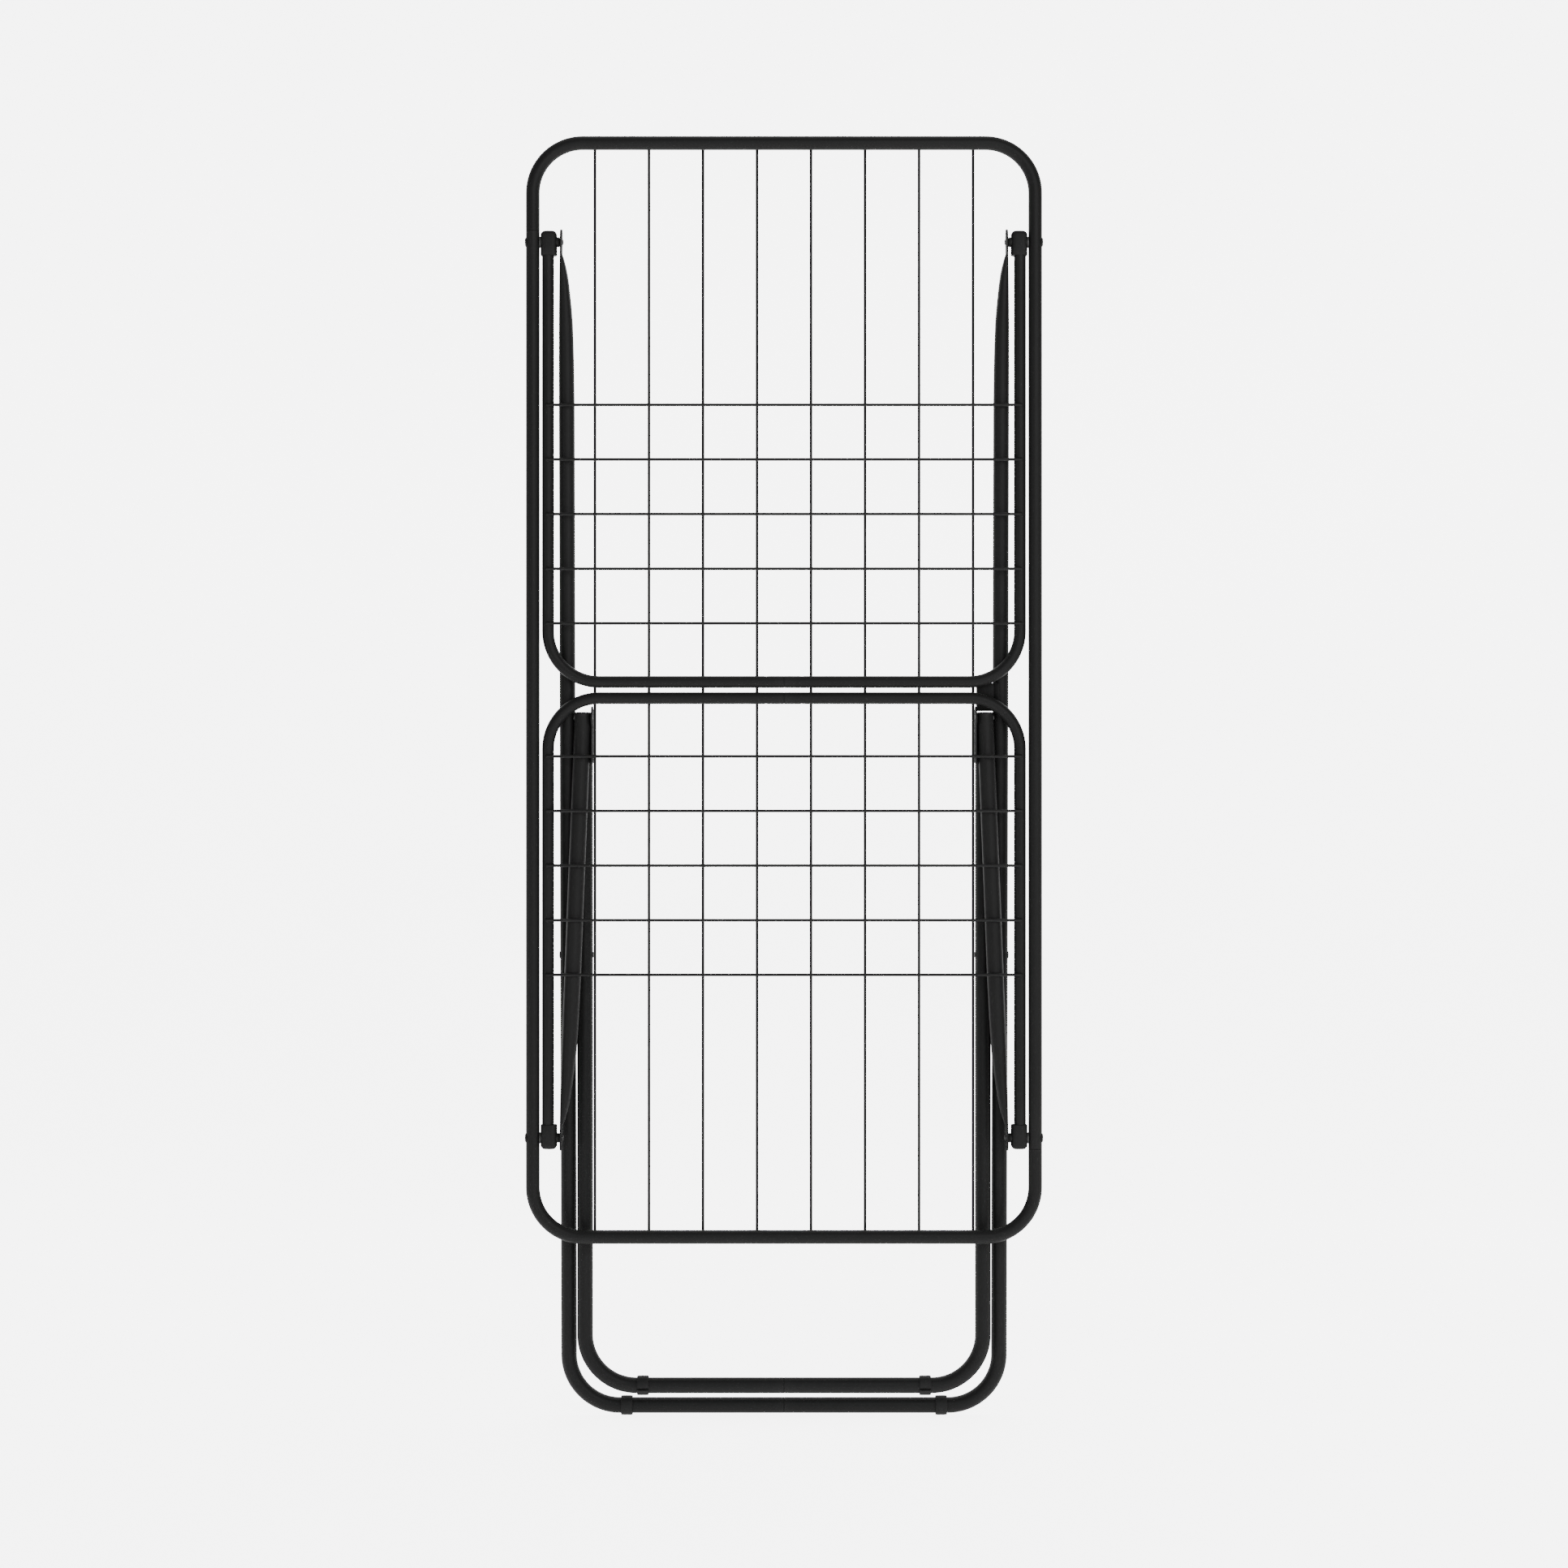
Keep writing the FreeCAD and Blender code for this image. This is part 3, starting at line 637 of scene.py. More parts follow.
@dataclass
class Workshop:
    """What every sub-assembly is made with."""

    sizes: Sizes
    finishes: Finishes
    rows: RowTree

    def fit(self, piece: bpy.types.Object, body: str, slot: str, nodes: Sequence[str]) -> None:
        """Hang a piece on its body in place of CAD nodes, and log it.

        Args:
            piece: the piece.
            body: the body it rides on.
            slot: the record's slot of its finish; not used.
            nodes: names of the CAD nodes it replaces.
        """
        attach(piece, body)
        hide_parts(*nodes)
        LOG.info("%s rides on %s for %s", piece.name, body, ", ".join(nodes))

    def make(
        self, name: str, ending: str, body: str, slot: str, solids: Iterable[Solid], sharp: float = 38.0
    ) -> None:
        """Make the piece that takes the place of one CAD node.

        Args:
            name: the CAD node's name.
            ending: what the piece's name adds to it.
            body: the body it rides on.
            slot: the record's slot of its finish.
            solids: its solids.
            sharp: angle in degrees past which an edge stays sharp.
        """
        piece = new_piece(f"{name}_{ending}", solids, getattr(self.finishes, slot), sharp)
        self.fit(piece, body, slot, (name,))

    def softened(self, node: bpy.types.Object, body: str, slot: str, width: float) -> None:
        """Replace a CAD node by a copy of it with rounded edges.

        Args:
            node: the CAD node's object.
            body: the body it rides on.
            slot: the record's slot of its finish.
            width: width of the rounding.
        """
        mesh = node.data.copy()
        work = bmesh.new()
        work.from_mesh(mesh)
        bmesh.ops.transform(work, matrix=node.matrix_world, verts=work.verts)
        bmesh.ops.remove_doubles(work, verts=work.verts, dist=0.002 * MM)
        flat = math.radians(1.0)
        bmesh.ops.dissolve_limit(work, angle_limit=flat, verts=work.verts, edges=work.edges)
        rims = [
            edge
            for edge in work.edges
            if len(edge.link_faces) == 2 and edge.calc_face_angle(0.0) > math.radians(42.0)
        ]
        bmesh.ops.bevel(
            work,
            geom=rims,
            offset=width,
            segments=3,
            profile=0.5,
            affect="EDGES",
            clamp_overlap=True,
        )
        bmesh.ops.recalc_face_normals(work, faces=work.faces)
        work.to_mesh(mesh)
        work.free()
        mesh.materials.clear()
        mesh.materials.append(getattr(self.finishes, slot))
        mesh.shade_smooth()
        mesh.set_sharp_from_angle(angle=math.radians(40.0))
        piece = bpy.data.objects.new(f"{node.name}_moulded", mesh)
        bpy.context.scene.collection.objects.link(piece)
        self.fit(piece, body, slot, (node.name,))


@dataclass
class MainFrame:
    """Rectangular hoop of two bent tubes with eight long wires and the four hinge rivets."""

    shop: Workshop
    bend: float = 55.0 * MM
    rail_inset: float = 109.5 * MM
    seam: float = 12.0 * MM
    wire_pitch: float = 59.8 * MM
    wire_overhang: float = 1.5 * MM

    def tube_solid(self) -> Solid:
        """Skin the half that runs from the left seam over the top to the right seam.

        Returns:
            The half, about the middle of the frame.
        """
        s = self.shop.sizes
        reach = (s.upper_hinge - s.lower_hinge) / 2
        rail = reach + self.rail_inset
        long_run = hooked_path(-(reach + self.seam), rail, s.frame_side, self.bend, ())
        short_run = hooked_path(reach + self.seam, rail, s.frame_side, self.bend, ())
        path = list(long_run)
        for point, out in reversed(short_run[:-1]):
            path.append((Vector((-point.x, 0, point.z)), Vector((-out.x, 0, out.z))))
        return sweep(tube_stations(path, s.frame_radius))

    def build(self) -> None:
        """Make the tubes, wires and rivets."""
        s, shop = self.shop.sizes, self.shop
        for name, turn in (("frame_tube_upper", 1), ("frame_tube_lower", -1)):
            points, faces = self.tube_solid()
            placed = [Vector((turn * p.x, s.plane + p.y, s.middle + turn * p.z)) for p in points]
            shop.make(name, "coated", "main_frame", "tube_paint", [(placed, faces)])
        half = (s.upper_hinge - s.lower_hinge) / 2 + self.rail_inset + self.wire_overhang
        y = s.plane + s.frame_radius + s.wire_radius - s.weld_sink
        wire = spun(Vector((0, y, s.middle)), Vector((0, 0, 1)), wire_profile(half, s.wire_radius))
        rail = half - self.wire_overhang
        solids = [sweep(wire, 20)]
        for end in (-1, 1):
            bead = Vector((0, y - s.wire_radius * 0.55, s.middle + end * rail))
            solids.append(weld_bead(bead, 2.4 * MM))
        piece = new_piece("long_wires", solids, shop.finishes.wire_paint)
        shop.rows.apply(piece, 8, (-3.5 * self.wire_pitch, 0, 0), (self.wire_pitch, 0, 0), 11)
        shop.fit(piece, "main_frame", "wire_paint", [f"long_wire_{i}" for i in range(1, 9)])
        for side in Side:
            self.rivets(side)

    def rivets(self, side: Side) -> None:
        """Make one side's two hinge rivets: dimpled head, shank and rounded tail.

        Args:
            side: the side.
        """
        s, shop = self.shop.sizes, self.shop
        face = s.frame_side + s.frame_radius
        inner = s.plate_face - 2 * s.plate_half - s.thrust_gap
        tail, head, shank, seat = 3.2 * MM, 4.95 * MM, s.rivet_radius, face - 0.6 * MM
        profile = [(inner - 1.0 * MM, 1.4 * MM), (inner - 0.9 * MM, 2.4 * MM)]
        profile += [(inner - 0.5 * MM, 3.1 * MM), (inner, tail), (inner, shank), (seat, shank)]
        profile += [(seat, head), (face + 0.25 * MM, head)]
        profile += [(face + 0.75 * MM, 4.5 * MM), (face + 1.05 * MM, 3.4 * MM), (face + 1.1 * MM, 2.2 * MM)]
        profile += [(face + 0.9 * MM, 1.5 * MM), (face + 0.55 * MM, 1.0 * MM)]
        start = Vector((0, s.plane, s.lower_hinge))
        solid = sweep(spun(start, Vector((side.value, 0, 0)), profile), 40)
        piece = new_piece(f"hinge_rivets_{side.word}", [solid], shop.finishes.rivet_steel)
        shop.rows.apply(piece, 2, (0, 0, 0), (0, 0, s.upper_hinge - s.lower_hinge), 5)
        names = [f"hinge_rivet_{level}_{side.word}" for level in ("upper", "lower")]
        shop.fit(piece, "main_frame", "rivet_steel", names)


def tube_stations(path: Sequence[tuple[Vector, Vector]], radius: float) -> list[Station]:
    """Give a round tube its sections, with a hairline rounding where each end meets its partner.

    Args:
        path: points along the tube and their normals.
        radius: the tube's radius.

    Returns:
        The sections in order.
    """
    forward, soft = Vector((0, 1, 0)), 0.3 * MM
    stations = []
    last = len(path) - 1
    for index, (centre, out) in enumerate(path):
        size = radius - (0.5 * MM if index in (0, last) else 0.0)
        stations.append(Station(centre, out, forward, size, size))
        if index == 0:
            inward = (path[1][0] - centre).normalized()
            stations.append(Station(centre + inward * soft, out, forward, radius, radius))
        if index == last - 1 and (path[last][0] - centre).length > 1.0 * MM:
            end, out_last = path[last]
            back = (centre - end).normalized()
            stations.append(Station(end + back * soft, out_last, forward, radius, radius))
    return stations


def wire_profile(half: float, radius: float) -> list[tuple[float, float]]:
    """Shape a straight wire with cropped, slightly rounded ends.

    Args:
        half: half its length.
        radius: its radius.

    Returns:
        Distances and radii for spun().
    """
    soft = 0.35 * MM
    end = [(half - soft, radius), (half - soft * 0.3, radius - soft * 0.3), (half, radius - soft)]
    return [(-d, r) for d, r in reversed(end)] + end


def weld_bead(centre: Vector, tall: float) -> Solid:
    """Skin a small flattened bead of weld.

    Args:
        centre: its middle.
        tall: half its height.

    Returns:
        The bead.
    """
    wide, deep, steps = 2.6 * MM, 0.9 * MM, 12
    stations = []
    for step in range(1, steps):
        angle = math.pi * step / steps
        share = math.sin(angle)
        middle = centre + Vector((-math.cos(angle) * wide, 0, 0))
        section = Station(middle, Vector((0, 1, 0)), Vector((0, 0, 1)), deep * share, tall * share)
        stations.append(section)
    return sweep(stations, 16)


@dataclass
class Wing:
    """U-shaped wing of thin tube with five cross wires and two moulded caps."""

    shop: Workshop
    name: str
    hinge: float
    away: Away
    bend: float = 56.3 * MM
    wire_first: float = 180.4 * MM
    wire_pitch: float = 60.2 * MM
    wire_half: float = 262.0 * MM
    cap_above: float = 12.5 * MM
    cap_below: float = 14.9 * MM
    cap_faces: tuple[float, float] = (250.6 * MM, 268.65 * MM)
    gap: float = 4.8 * MM

    @property
    def reach(self) -> float:
        """Distance from the hinge to the bar."""
        s = self.shop.sizes
        return (s.upper_hinge - s.lower_hinge) / 2 - s.wing_radius - self.gap / 2

    def build(self) -> None:
        """Make the tubes, wires and caps."""
        for side in Side:
            self.tube(side)
            self.cap(side)
        self.wires()

    def tube(self, side: Side) -> None:
        """Make one half of the wing's tube.

        Args:
            side: the side.
        """
        s = self.shop.sizes
        way = self.away.value
        start = way * (self.cap_below - 1.0 * MM)
        path = hooked_path(start, way * self.reach, s.wing_side, self.bend, crimp_stations())
        points, faces = sweep(tube_stations(path, s.wing_radius))
        dented(points, [crimp_centre(way * self.reach, -way, s.wing_radius)], CRIMP_RADIUS)
        solid = Leaning(s.plane, self.hinge).put_all((points, faces), side)
        name = f"{self.name}_tube_{side.word}"
        self.shop.make(name, "coated", self.name, "tube_paint", [solid])

    def cap(self, side: Side) -> None:
        """Make one moulded cap: a rounded body with a skirt round the tube and a domed bush.

        Args:
            side: the side.
        """
        s = self.shop.sizes
        frame = Leaning(s.plane, self.hinge)
        near, far = self.cap_faces
        middle, half = (near + far) / 2, (far - near) / 2
        way = -self.away.value
        deep, rounding = 7.3 * MM, 5.2 * MM
        heights = [(-self.cap_below, 0.8 * MM), (-self.cap_below + 0.25 * MM, 0.35 * MM)]
        heights += [(-self.cap_below + 0.8 * MM, 0.0), (-4.0 * MM, 0.0), (2.0 * MM, 0.0)]
        for angle in quarter(12, last=False):
            drop = rounding * (1 - math.cos(angle))
            heights.append((self.cap_above - rounding + rounding * math.sin(angle), drop))
        x_axis, y_axis = Vector((1, 0, 0)), Vector((0, 1, 0))
        stations = []
        for height, drop in heights:
            centre = Vector((middle, 0, way * height))
            stations.append(Station(centre, x_axis, y_axis, half - drop, deep - drop * 0.95, 3.4))
        solids = [sweep(stations, 64)]
        bush = domed(near - (s.plate_face + s.thrust_gap), 5.3 * MM, 1.6 * MM, 1.0 * MM)
        solids.append(sweep(spun(Vector((near, 0, 0)), -x_axis, bush), 40))
        collar = [(near - far, 4.0 * MM), (0.0, 6.0 * MM)]
        solids.append(sweep(spun(Vector((far, 0, 0)), x_axis, collar), 32))
        placed = [frame.put_all(solid, side) for solid in solids]
        name = f"{self.name}_cap_{side.word}"
        self.shop.make(name, "moulded", self.name, "hinge_plastic", placed, 50.0)

    def wires(self) -> None:
        """Make the row of cross wires with their weld beads."""
        s, shop = self.shop.sizes, self.shop
        y = s.plane - s.wing_radius - (s.wire_radius - s.weld_sink)
        profile = wire_profile(self.wire_half, s.wire_radius)
        solids = [sweep(spun(Vector((0, y, self.hinge)), Vector((1, 0, 0)), profile), 20)]
        for side in Side:
            bead = Vector((side.value * s.wing_side, y + s.wire_radius * 0.6, self.hinge))
            solids.append(weld_bead(bead, 2.5 * MM))
        piece = new_piece(f"{self.name}_wires", solids, shop.finishes.wire_paint)
        way = self.away.value
        first, step = (0, 0, way * self.wire_first), (0, 0, way * self.wire_pitch)
        shop.rows.apply(piece, 5, first, step, 23)
        shop.fit(piece, self.name, "wire_paint", [f"{self.name}_wire_{i}" for i in range(1, 6)])


CRIMP_RADIUS = 6.0 * MM
CRIMP_DEPTH = 0.6 * MM
CRIMP_X = 19.9 * MM


def crimp_stations() -> list[float]:
    """Return distances from the middle that resolve a crimp."""
    return [CRIMP_X + step * 0.35 * MM for step in range(-12, 13)]


def crimp_centre(bar: float, inward: float, radius: float) -> Vector:
    """Return the centre of the ball that presses a crimp into a bar."""
    return Vector((CRIMP_X, 0, bar + inward * (radius + CRIMP_RADIUS - CRIMP_DEPTH)))


# Share of the full width reached at each distance in mm from a flattened end's pivot.
TAPER = (
    (13.0, 0.137),
    (19.0, 0.28),
    (28.0, 0.425),
    (37.0, 0.54),
    (46.0, 0.625),
    (55.0, 0.69),
    (73.0, 0.805),
    (91.0, 0.89),
    (113.0, 0.94),
    (136.0, 0.97),
    (178.0, 1.0),
)


def flattened_stations(
    radius: float, face: Callable[[float], float], way: int, plate_half: float
) -> list[Station]:
    """Return the sections of a tube end pressed flat round its pivot, on the +X side.

    Args:
        radius: radius of the round tube.
        face: distance of the tube's outer face from the middle, if it were round, by distance.
        way: +1 when the tube runs up from the pivot, -1 when it runs down.
        plate_half: half the thickness of the flat end.

    Returns:
        Sections from the rounded tip to the full tube.
    """
    x_axis, y_axis = Vector((1, 0, 0)), Vector((0, 1, 0))
    tip, wide_tip, inset = 14.0 * MM, 10.0 * MM, 2.0 * MM
    stations = []
    x = face(0.0) - inset - plate_half
    for angle in quarter(24):
        height = wide_tip * (1 - math.cos(angle)) - tip
        wide = wide_tip * math.sin(angle)
        centre = Vector((x, 0, way * height))
        stations.append(Station(centre, x_axis, y_axis, plate_half, wide, 8.0))
    for distance, share in TAPER:
        thick = max(radius * share, plate_half)
        wide = thick + (wide_tip - plate_half) * (radius - thick) / (radius - plate_half)
        x = face(distance * MM) - inset * (1 - share) - thick
        centre = Vector((x, 0, way * distance * MM))
        squareness = 2.0 + 3.0 * (1 - share) ** 2
        stations.append(Station(centre, x_axis, y_axis, thick, wide, squareness))
    return stations


@dataclass
class FootRing:
    """Split ring snapped on a leg's bar, with a small flat to stand on."""

    x: float
    bar: float
    pad_angle: float
    gap_angle: float
    radius: float = 10.9 * MM
    bore: float = 8.8 * MM
    width: float = 12.8 * MM
    gap: float = 3.4 * MM
    pad_depth: float = 0.5 * MM

    def solid(self) -> Solid:
        """Skin the ring from one jaw round to the other.

        Returns:
            The ring, in its leg's own frame.
        """
        half_gap = math.degrees(self.gap / 2 / self.radius)
        first, last = self.gap_angle + half_gap, self.gap_angle + 360.0 - half_gap
        stations = []
        count = 96
        for step in range(-2, count + 3):
            share = min(max(step / count, 0.0), 1.0)
            angle = first + (last - first) * share
            around = math.radians(angle)
            off = math.cos(around - math.radians(self.pad_angle))
            outer = self.radius
            if off > 0:
                outer = min(outer, (self.radius - self.pad_depth) / off)
            trim = 0.0
            if step < 1 or step > count - 1:
                from_end = step + 2 if step < 1 else count + 2 - step
                trim = (0.45 * MM, 0.12 * MM, 0.0)[min(2, from_end)]
            direction = Vector((0, math.cos(around), math.sin(around)))
            centre = Vector((self.x, 0, self.bar)) + direction * (outer + self.bore) / 2
            wide, thick = self.width / 2 - trim, (outer - self.bore) / 2 - trim
            stations.append(Station(centre, Vector((1, 0, 0)), direction, wide, thick, 4.5))
        return sweep(spread(stations), 32)


def spread(stations: list[Station]) -> list[Station]:
    """Drop sections that sit exactly on the one before them with the same size.

    Args:
        stations: the sections in order.

    Returns:
        The sections that differ.
    """
    hair = 0.0001 * MM
    kept = [stations[0]]
    for station in stations[1:]:
        moved = (station.centre - kept[-1].centre).length > hair
        if moved or abs(station.half_across - kept[-1].half_across) > hair:
            kept.append(station)
    return kept


@dataclass
class OuterLeg:
    """Leg on the upper hinges: two flattened tubes, foot rings, crossing rivets and the fold catch."""

    shop: Workshop
    nodes: dict[str, bpy.types.Object]
    lean: float = 2.0
    length: float = 1293.8 * MM
    bend: float = 57.0 * MM
    crossing: float = 788.7 * MM
    ring_inset: float = 64.6 * MM
    pad_angle: float = -46.8
    gap_angle: float = 12.9

    def build(self) -> None:
        """Make both sides and soften the catch."""
        s, shop = self.shop.sizes, self.shop
        frame = Leaning(s.plane, s.upper_hinge, self.lean)
        for side in Side:
            start = -TAPER[-1][0] * MM
            path = hooked_path(start, -self.length, s.outer_side, self.bend, crimp_stations())
            ends = flattened_stations(
                s.leg_radius, lambda distance: s.outer_side + s.leg_radius, -1, s.plate_half
            )
            points, faces = sweep(ends + tube_stations(path, s.leg_radius)[2:])
            dented(points, [crimp_centre(-self.length, 1, s.leg_radius)], CRIMP_RADIUS)
            tube = frame.put_all((points, faces), side)
            shop.make(f"outer_leg_tube_{side.word}", "coated", "outer_leg", "tube_paint", [tube])
            x = s.outer_side - self.ring_inset
            ring = FootRing(x, -self.length, self.pad_angle, self.gap_angle).solid()
            name = f"outer_foot_ring_{side.word}"
            shop.make(name, "moulded", "outer_leg", "foot_plastic", [frame.put_all(ring, side)])
            self.rivet(frame, side)
        shop.softened(self.nodes["fold_catch"], "outer_leg", "hinge_plastic", 0.9 * MM)

    def rivet(self, frame: Leaning, side: Side) -> None:
        """Make the outer half of a crossing pivot: domed head, shank and washer.

        Args:
            frame: the leg's own frame.
            side: the side.
        """
        s = self.shop.sizes
        inside, outside = s.outer_side - s.leg_radius, s.outer_side + s.leg_radius
        washer, head, shank, seat = 6.0 * MM, 4.0 * MM, s.rivet_radius, outside - 1.2 * MM
        profile = [(inside - 1.0 * MM, 5.8 * MM), (inside - 0.9 * MM, washer), (inside, washer)]
        profile += [(inside, shank), (seat, shank), (seat, head), (outside + 0.3 * MM, head)]
        profile += [(outside + 0.75 * MM, 3.5 * MM), (outside + 1.0 * MM, 2.2 * MM)]
        solid = sweep(spun(Vector((0, 0, -self.crossing)), Vector((1, 0, 0)), profile), 40)
        name = f"crossing_rivet_outer_{side.word}"
        self.shop.make(name, "head", "outer_leg", "rivet_steel", [frame.put_all(solid, side)])


@dataclass
class InnerLeg:
    """Leg that crosses the outer one: tubes, foot rings and the knuckles in its upper ends."""

    shop: Workshop
    nodes: dict[str, bpy.types.Object]
    lean: float = 0.2
    length: float = 479.6 * MM
    top: float = 212.4 * MM
    bend: float = 57.0 * MM
    crossing: tuple[float, float] = (4.499 * MM, 515.692 * MM)
    ring_inset: float = 64.4 * MM
    pad_angle: float = -124.3
    gap_angle: float = 192.9

    def build(self) -> None:
        """Make both sides and soften the knuckles."""
        s, shop = self.shop.sizes, self.shop
        frame = Leaning(*self.crossing, self.lean)
        for side in Side:
            path = hooked_path(self.top, -self.length, s.inner_side, self.bend, crimp_stations())
            points, faces = sweep(tube_stations(path, s.leg_radius))
            dented(points, [crimp_centre(-self.length, 1, s.leg_radius)], CRIMP_RADIUS)
            tube = frame.put_all((points, faces), side)
            shop.make(f"inner_leg_tube_{side.word}", "coated", "inner_leg", "tube_paint", [tube])
            x = s.inner_side - self.ring_inset
            ring = FootRing(x, -self.length, self.pad_angle, self.gap_angle).solid()
            name = f"inner_foot_ring_{side.word}"
            shop.make(name, "moulded", "inner_leg", "foot_plastic", [frame.put_all(ring, side)])
            knuckle = self.nodes[f"knee_knuckle_{side.word}"]
            shop.softened(knuckle, "inner_leg", "hinge_plastic", 0.5 * MM)
            rivet = self.nodes[f"crossing_rivet_inner_{side.word}"]
            shop.softened(rivet, "inner_leg", "rivet_steel", 0.4 * MM)


@dataclass
class Braces:
    """Two braces from the lower hinges to the knees, with their knee rivets."""

    shop: Workshop
    radius: float = 9.2 * MM
    wall: float = 1.0 * MM
    knee_side: float = 222.9 * MM
    above_knee: float = 5.4 * MM

    def build(self) -> None:
        """Make each brace: flattened foot, round tube and an open square-cut top."""
        s, shop = self.shop.sizes, self.shop
        rise, back = s.knee[2] - s.lower_hinge, s.knee[1] - s.plane
        length = math.hypot(rise, back)
        frame = Leaning(s.plane, s.lower_hinge, -math.degrees(math.atan2(back, rise)))
        drift = (s.outer_side - self.knee_side) / length

        def centre(distance: float) -> float:
            """Distance of the brace's axis from the middle."""
            return s.outer_side - drift * distance

        x_axis, y_axis = Vector((1, 0, 0)), Vector((0, 1, 0))
        stations = flattened_stations(self.radius, lambda d: centre(d) + self.radius, 1, s.plate_half)
        top, soft = length + self.above_knee, 0.25 * MM
        rim = [(top - soft, 0.0), (top, soft), (top, self.wall - soft)]
        rim += [(top - soft, self.wall), (top - 30 * MM, self.wall)]
        for height, inset in [(200 * MM, 0.0), (330 * MM, 0.0), (430 * MM, 0.0)] + rim:
            size = self.radius - inset
            stations.append(Station(Vector((centre(height), 0, height)), x_axis, y_axis, size, size))
        for side in Side:
            brace = frame.put_all(sweep(stations), side)
            shop.make(f"brace_{side.word}", "coated", "braces", "tube_paint", [brace])
            inner = self.knee_side - self.radius - 2.2 * MM
            outer = self.knee_side + self.radius
            head, shank, seat = 3.2 * MM, s.rivet_radius, outer - 1.2 * MM
            profile = [(inner, 2.4 * MM), (inner + 0.1 * MM, shank), (seat, shank), (seat, head)]
            profile += [(outer + 0.3 * MM, head), (outer + 0.75 * MM, 2.7 * MM)]
            profile += [(outer + 1.0 * MM, 1.6 * MM)]
            rivet = sweep(spun(Vector((0, 0, length)), x_axis, profile), 36)
            name = f"knee_rivet_{side.word}"
            shop.make(name, "head", "braces", "rivet_steel", [frame.put_all(rivet, side)])


def dress_hidden(nodes: dict[str, bpy.types.Object], finishes: Finishes) -> None:
    """Give the carried-over inner sleeves and washers their finish.

    Args:
        nodes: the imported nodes' objects by name.
        finishes: the materials.
    """
    for name, node in nodes.items():
        finish = None
        if "sleeve" in name:
            finish = finishes.liner_steel
        elif name == "hinge_washers":
            finish = finishes.rivet_steel
        if finish:
            node.data.materials.clear()
            node.data.materials.append(finish)
            LOG.info("%s carried over with %s", name, finish.name)


def glow(tree: bpy.types.NodeTree, cast: float, seen: float) -> bpy.types.NodeSocket:
    """Add a strength that differs between the light cast and what the camera sees.

    Args:
        tree: the tree it goes in.
        cast: strength of the light cast.
        seen: strength that the camera sees.

    Returns:
        The strength.
    """
    path = tree.nodes.new("ShaderNodeLightPath")
    return maths(tree, "MULTIPLY_ADD", path.outputs["Is Camera Ray"], seen - cast, cast)


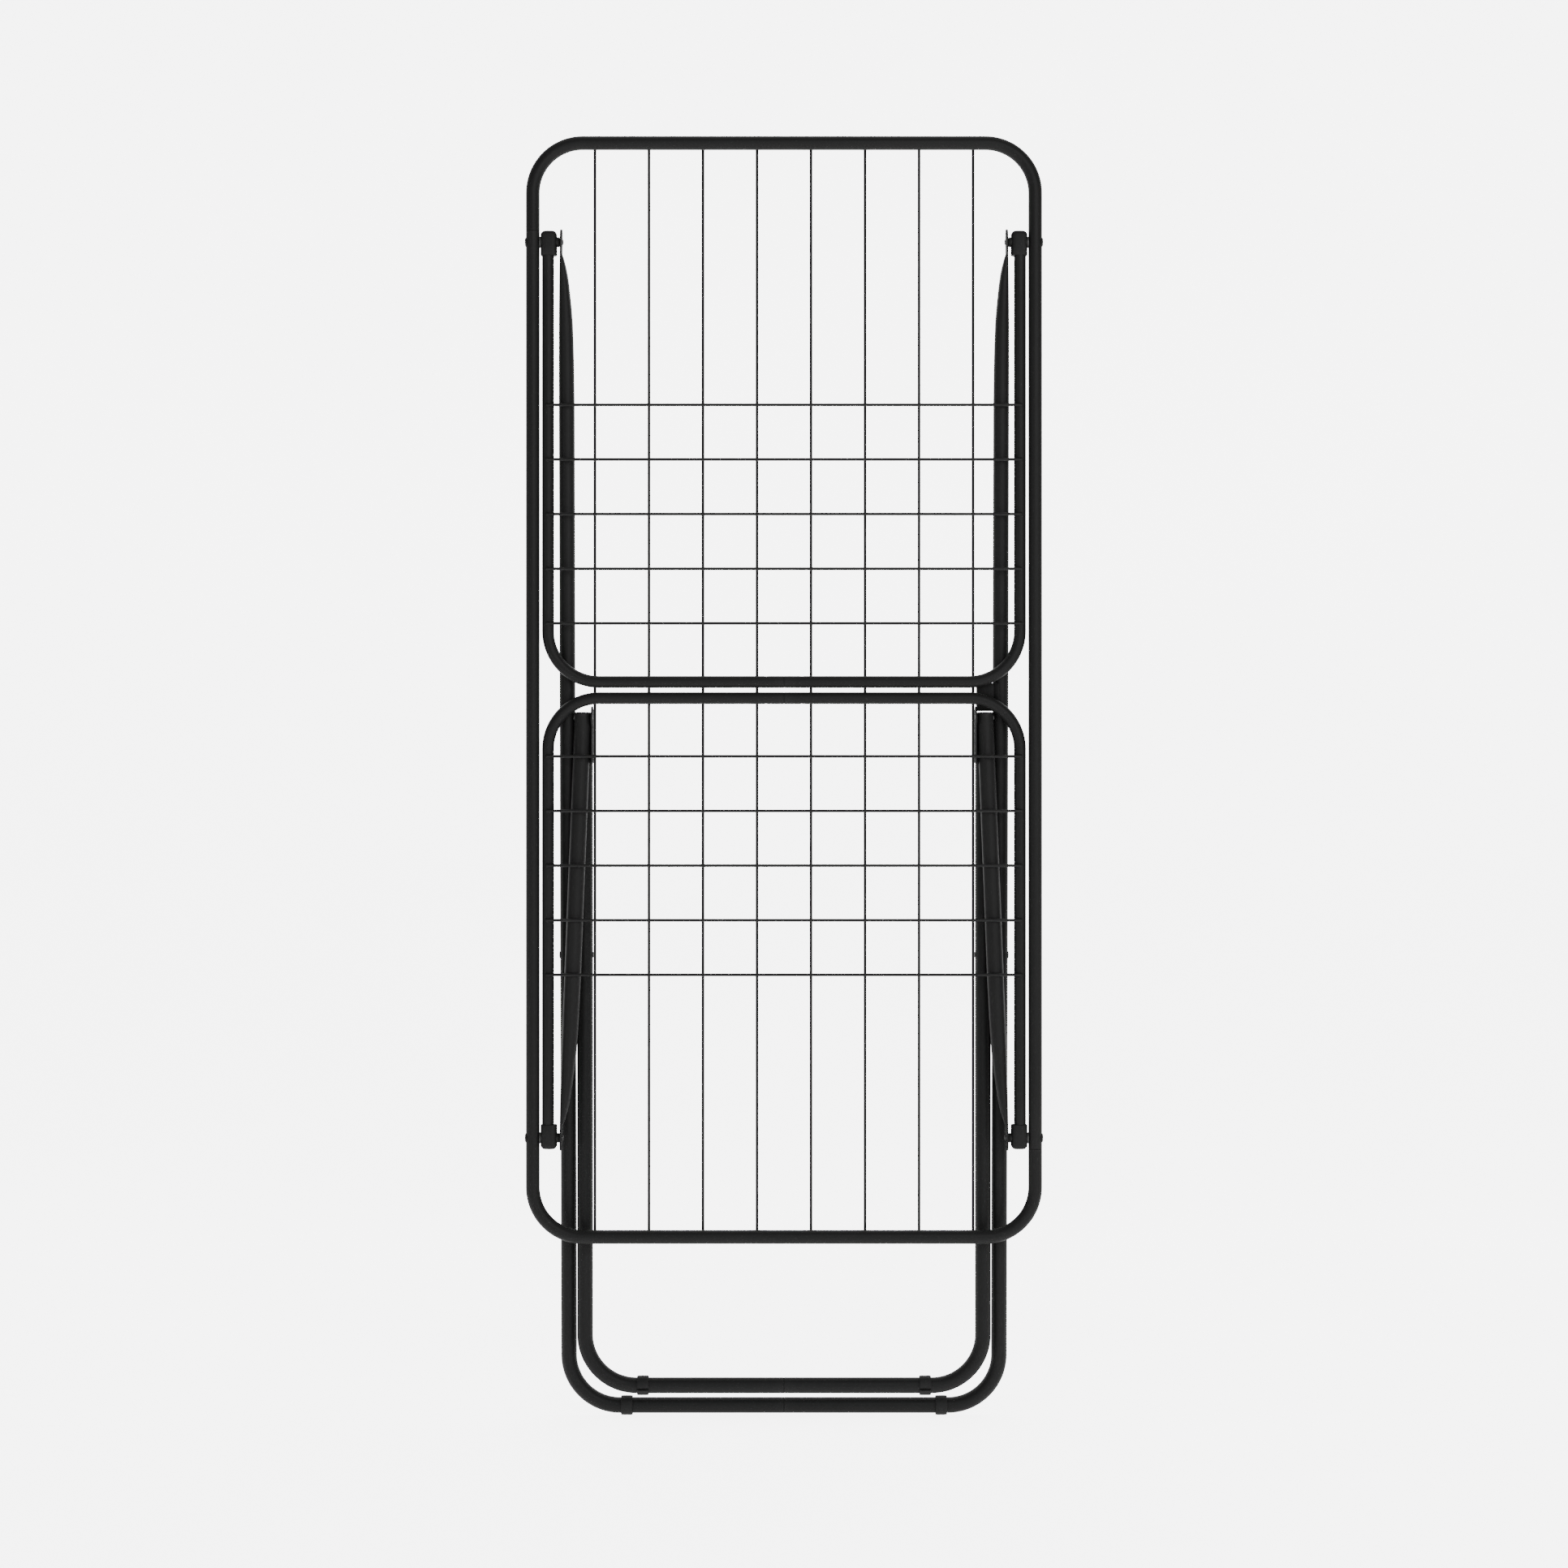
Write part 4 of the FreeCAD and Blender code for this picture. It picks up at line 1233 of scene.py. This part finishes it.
@dataclass
class Studio:
    """Pale sweep of floor and wall, soft lights and the camera."""

    distance: float = 3.4
    eye: float = 0.7057
    plane: float = -0.02303
    seen: float = 1.7315
    sensor: float = 36.0
    aim: float = 0.7
    half_width: float = 6.0
    floor_front: float = -6.0
    turn_start: float = 1.4
    turn_radius: float = 1.2
    wall_top: float = 6.0

    def build(self) -> None:
        """Set up the whole studio."""
        self.backdrop()
        self.light("key", (0.9, -3.2, 1.9), 1.6, 64.0)
        self.light("right", (2.6, -2.6, 1.4), 1.4, 20.0)
        self.light("left", (-2.8, -2.6, 1.2), 1.4, 10.0)
        self.light("top", (0.0, 0.2, 3.6), 2.4, 28.0)
        self.world()
        self.camera()

    def backdrop(self) -> None:
        """Make a floor that curves up into a wall."""
        rows = [(self.floor_front, 0.0), (self.turn_start, 0.0)]
        for angle in quarter(16):
            y = self.turn_start + self.turn_radius * math.sin(angle)
            rows.append((y, self.turn_radius * (1 - math.cos(angle))))
        rows.append((self.turn_start + self.turn_radius, self.wall_top))
        points = [Vector((end * self.half_width, y, z)) for y, z in rows for end in (-1, 1)]
        faces = [(2 * i, 2 * i + 1, 2 * i + 3, 2 * i + 2) for i in range(len(rows) - 1)]
        mesh = bpy.data.meshes.new("backdrop")
        mesh.from_pydata(points, [], faces)
        mesh.shade_smooth()
        mesh.materials.append(self.paper())
        floor = bpy.data.objects.new("backdrop", mesh)
        bpy.context.scene.collection.objects.link(floor)

    def paper(self) -> bpy.types.Material:
        """Make the backdrop's softly mottled paper.

        Returns:
            Its material.
        """
        paper = bpy.data.materials.new("backdrop_paper")
        paper.use_nodes = True
        tree = paper.node_tree
        shader = tree.nodes["Principled BSDF"]
        shader.inputs["Roughness"].default_value = 0.9
        shader.inputs["Specular IOR Level"].default_value = 0.1
        tree.links.new(glow(tree, 1.8, 6.0), shader.inputs["Emission Strength"])
        place = tree.nodes.new("ShaderNodeTexCoord").outputs["Object"]
        ramp = tree.nodes.new("ShaderNodeValToRGB")
        for element, level in zip(ramp.color_ramp.elements, (0.86, 0.9)):
            element.color = grey(level)
        tree.links.new(noise(tree, place, 3.0, 2.0), ramp.inputs["Fac"])
        for name in ("Base Color", "Emission Color"):
            tree.links.new(ramp.outputs["Color"], shader.inputs[name])
        return paper

    def light(self, name: str, place: Point, size: float, power: float) -> None:
        """Add one soft square light aimed at the middle of the airer.

        Args:
            name: its name.
            place: where it hangs.
            size: length of its edge.
            power: its power in watts.
        """
        lamp = bpy.data.lights.new(name, "AREA")
        lamp.size = size
        lamp.energy = power
        holder = bpy.data.objects.new(name, lamp)
        holder.location = place
        aim = Vector((0, 0, self.aim)) - Vector(place)
        holder.rotation_euler = aim.to_track_quat("-Z", "Y").to_euler()
        bpy.context.scene.collection.objects.link(holder)

    def world(self) -> None:
        """Fill the surroundings with an even pale light."""
        world = bpy.data.worlds.new("studio")
        world.use_nodes = True
        tree = world.node_tree
        background = tree.nodes["Background"]
        background.inputs["Color"].default_value = grey(1.0)
        tree.links.new(glow(tree, 0.3, 5.3), background.inputs["Strength"])
        bpy.context.scene.world = world

    def camera(self) -> None:
        """Look at the airer straight from the front, from mid height."""
        data = bpy.data.cameras.new("front")
        data.sensor_width = self.sensor
        data.lens = self.sensor * self.distance / self.seen
        holder = bpy.data.objects.new("front", data)
        holder.location = (0.0, self.plane - self.distance, self.eye)
        holder.rotation_euler = (math.pi / 2, 0.0, 0.0)
        bpy.context.scene.collection.objects.link(holder)
        bpy.context.scene.camera = holder


def main() -> None:
    """Build every sub-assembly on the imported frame."""
    logging.basicConfig(level=logging.INFO, format="%(name)s: %(message)s")
    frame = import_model()
    nodes = frame["nodes"]
    sizes = Sizes.from_record(frame["record"])
    shop = Workshop(sizes, Finishes.make(), RowTree())
    MainFrame(shop).build()
    Wing(shop, "upper_wing", sizes.upper_hinge, Away.DOWN).build()
    Wing(shop, "lower_wing", sizes.lower_hinge, Away.UP).build()
    OuterLeg(shop, nodes).build()
    InnerLeg(shop, nodes).build()
    Braces(shop).build()
    dress_hidden(nodes, shop.finishes)
    Studio().build()


if __name__ == "__main__":
    main()
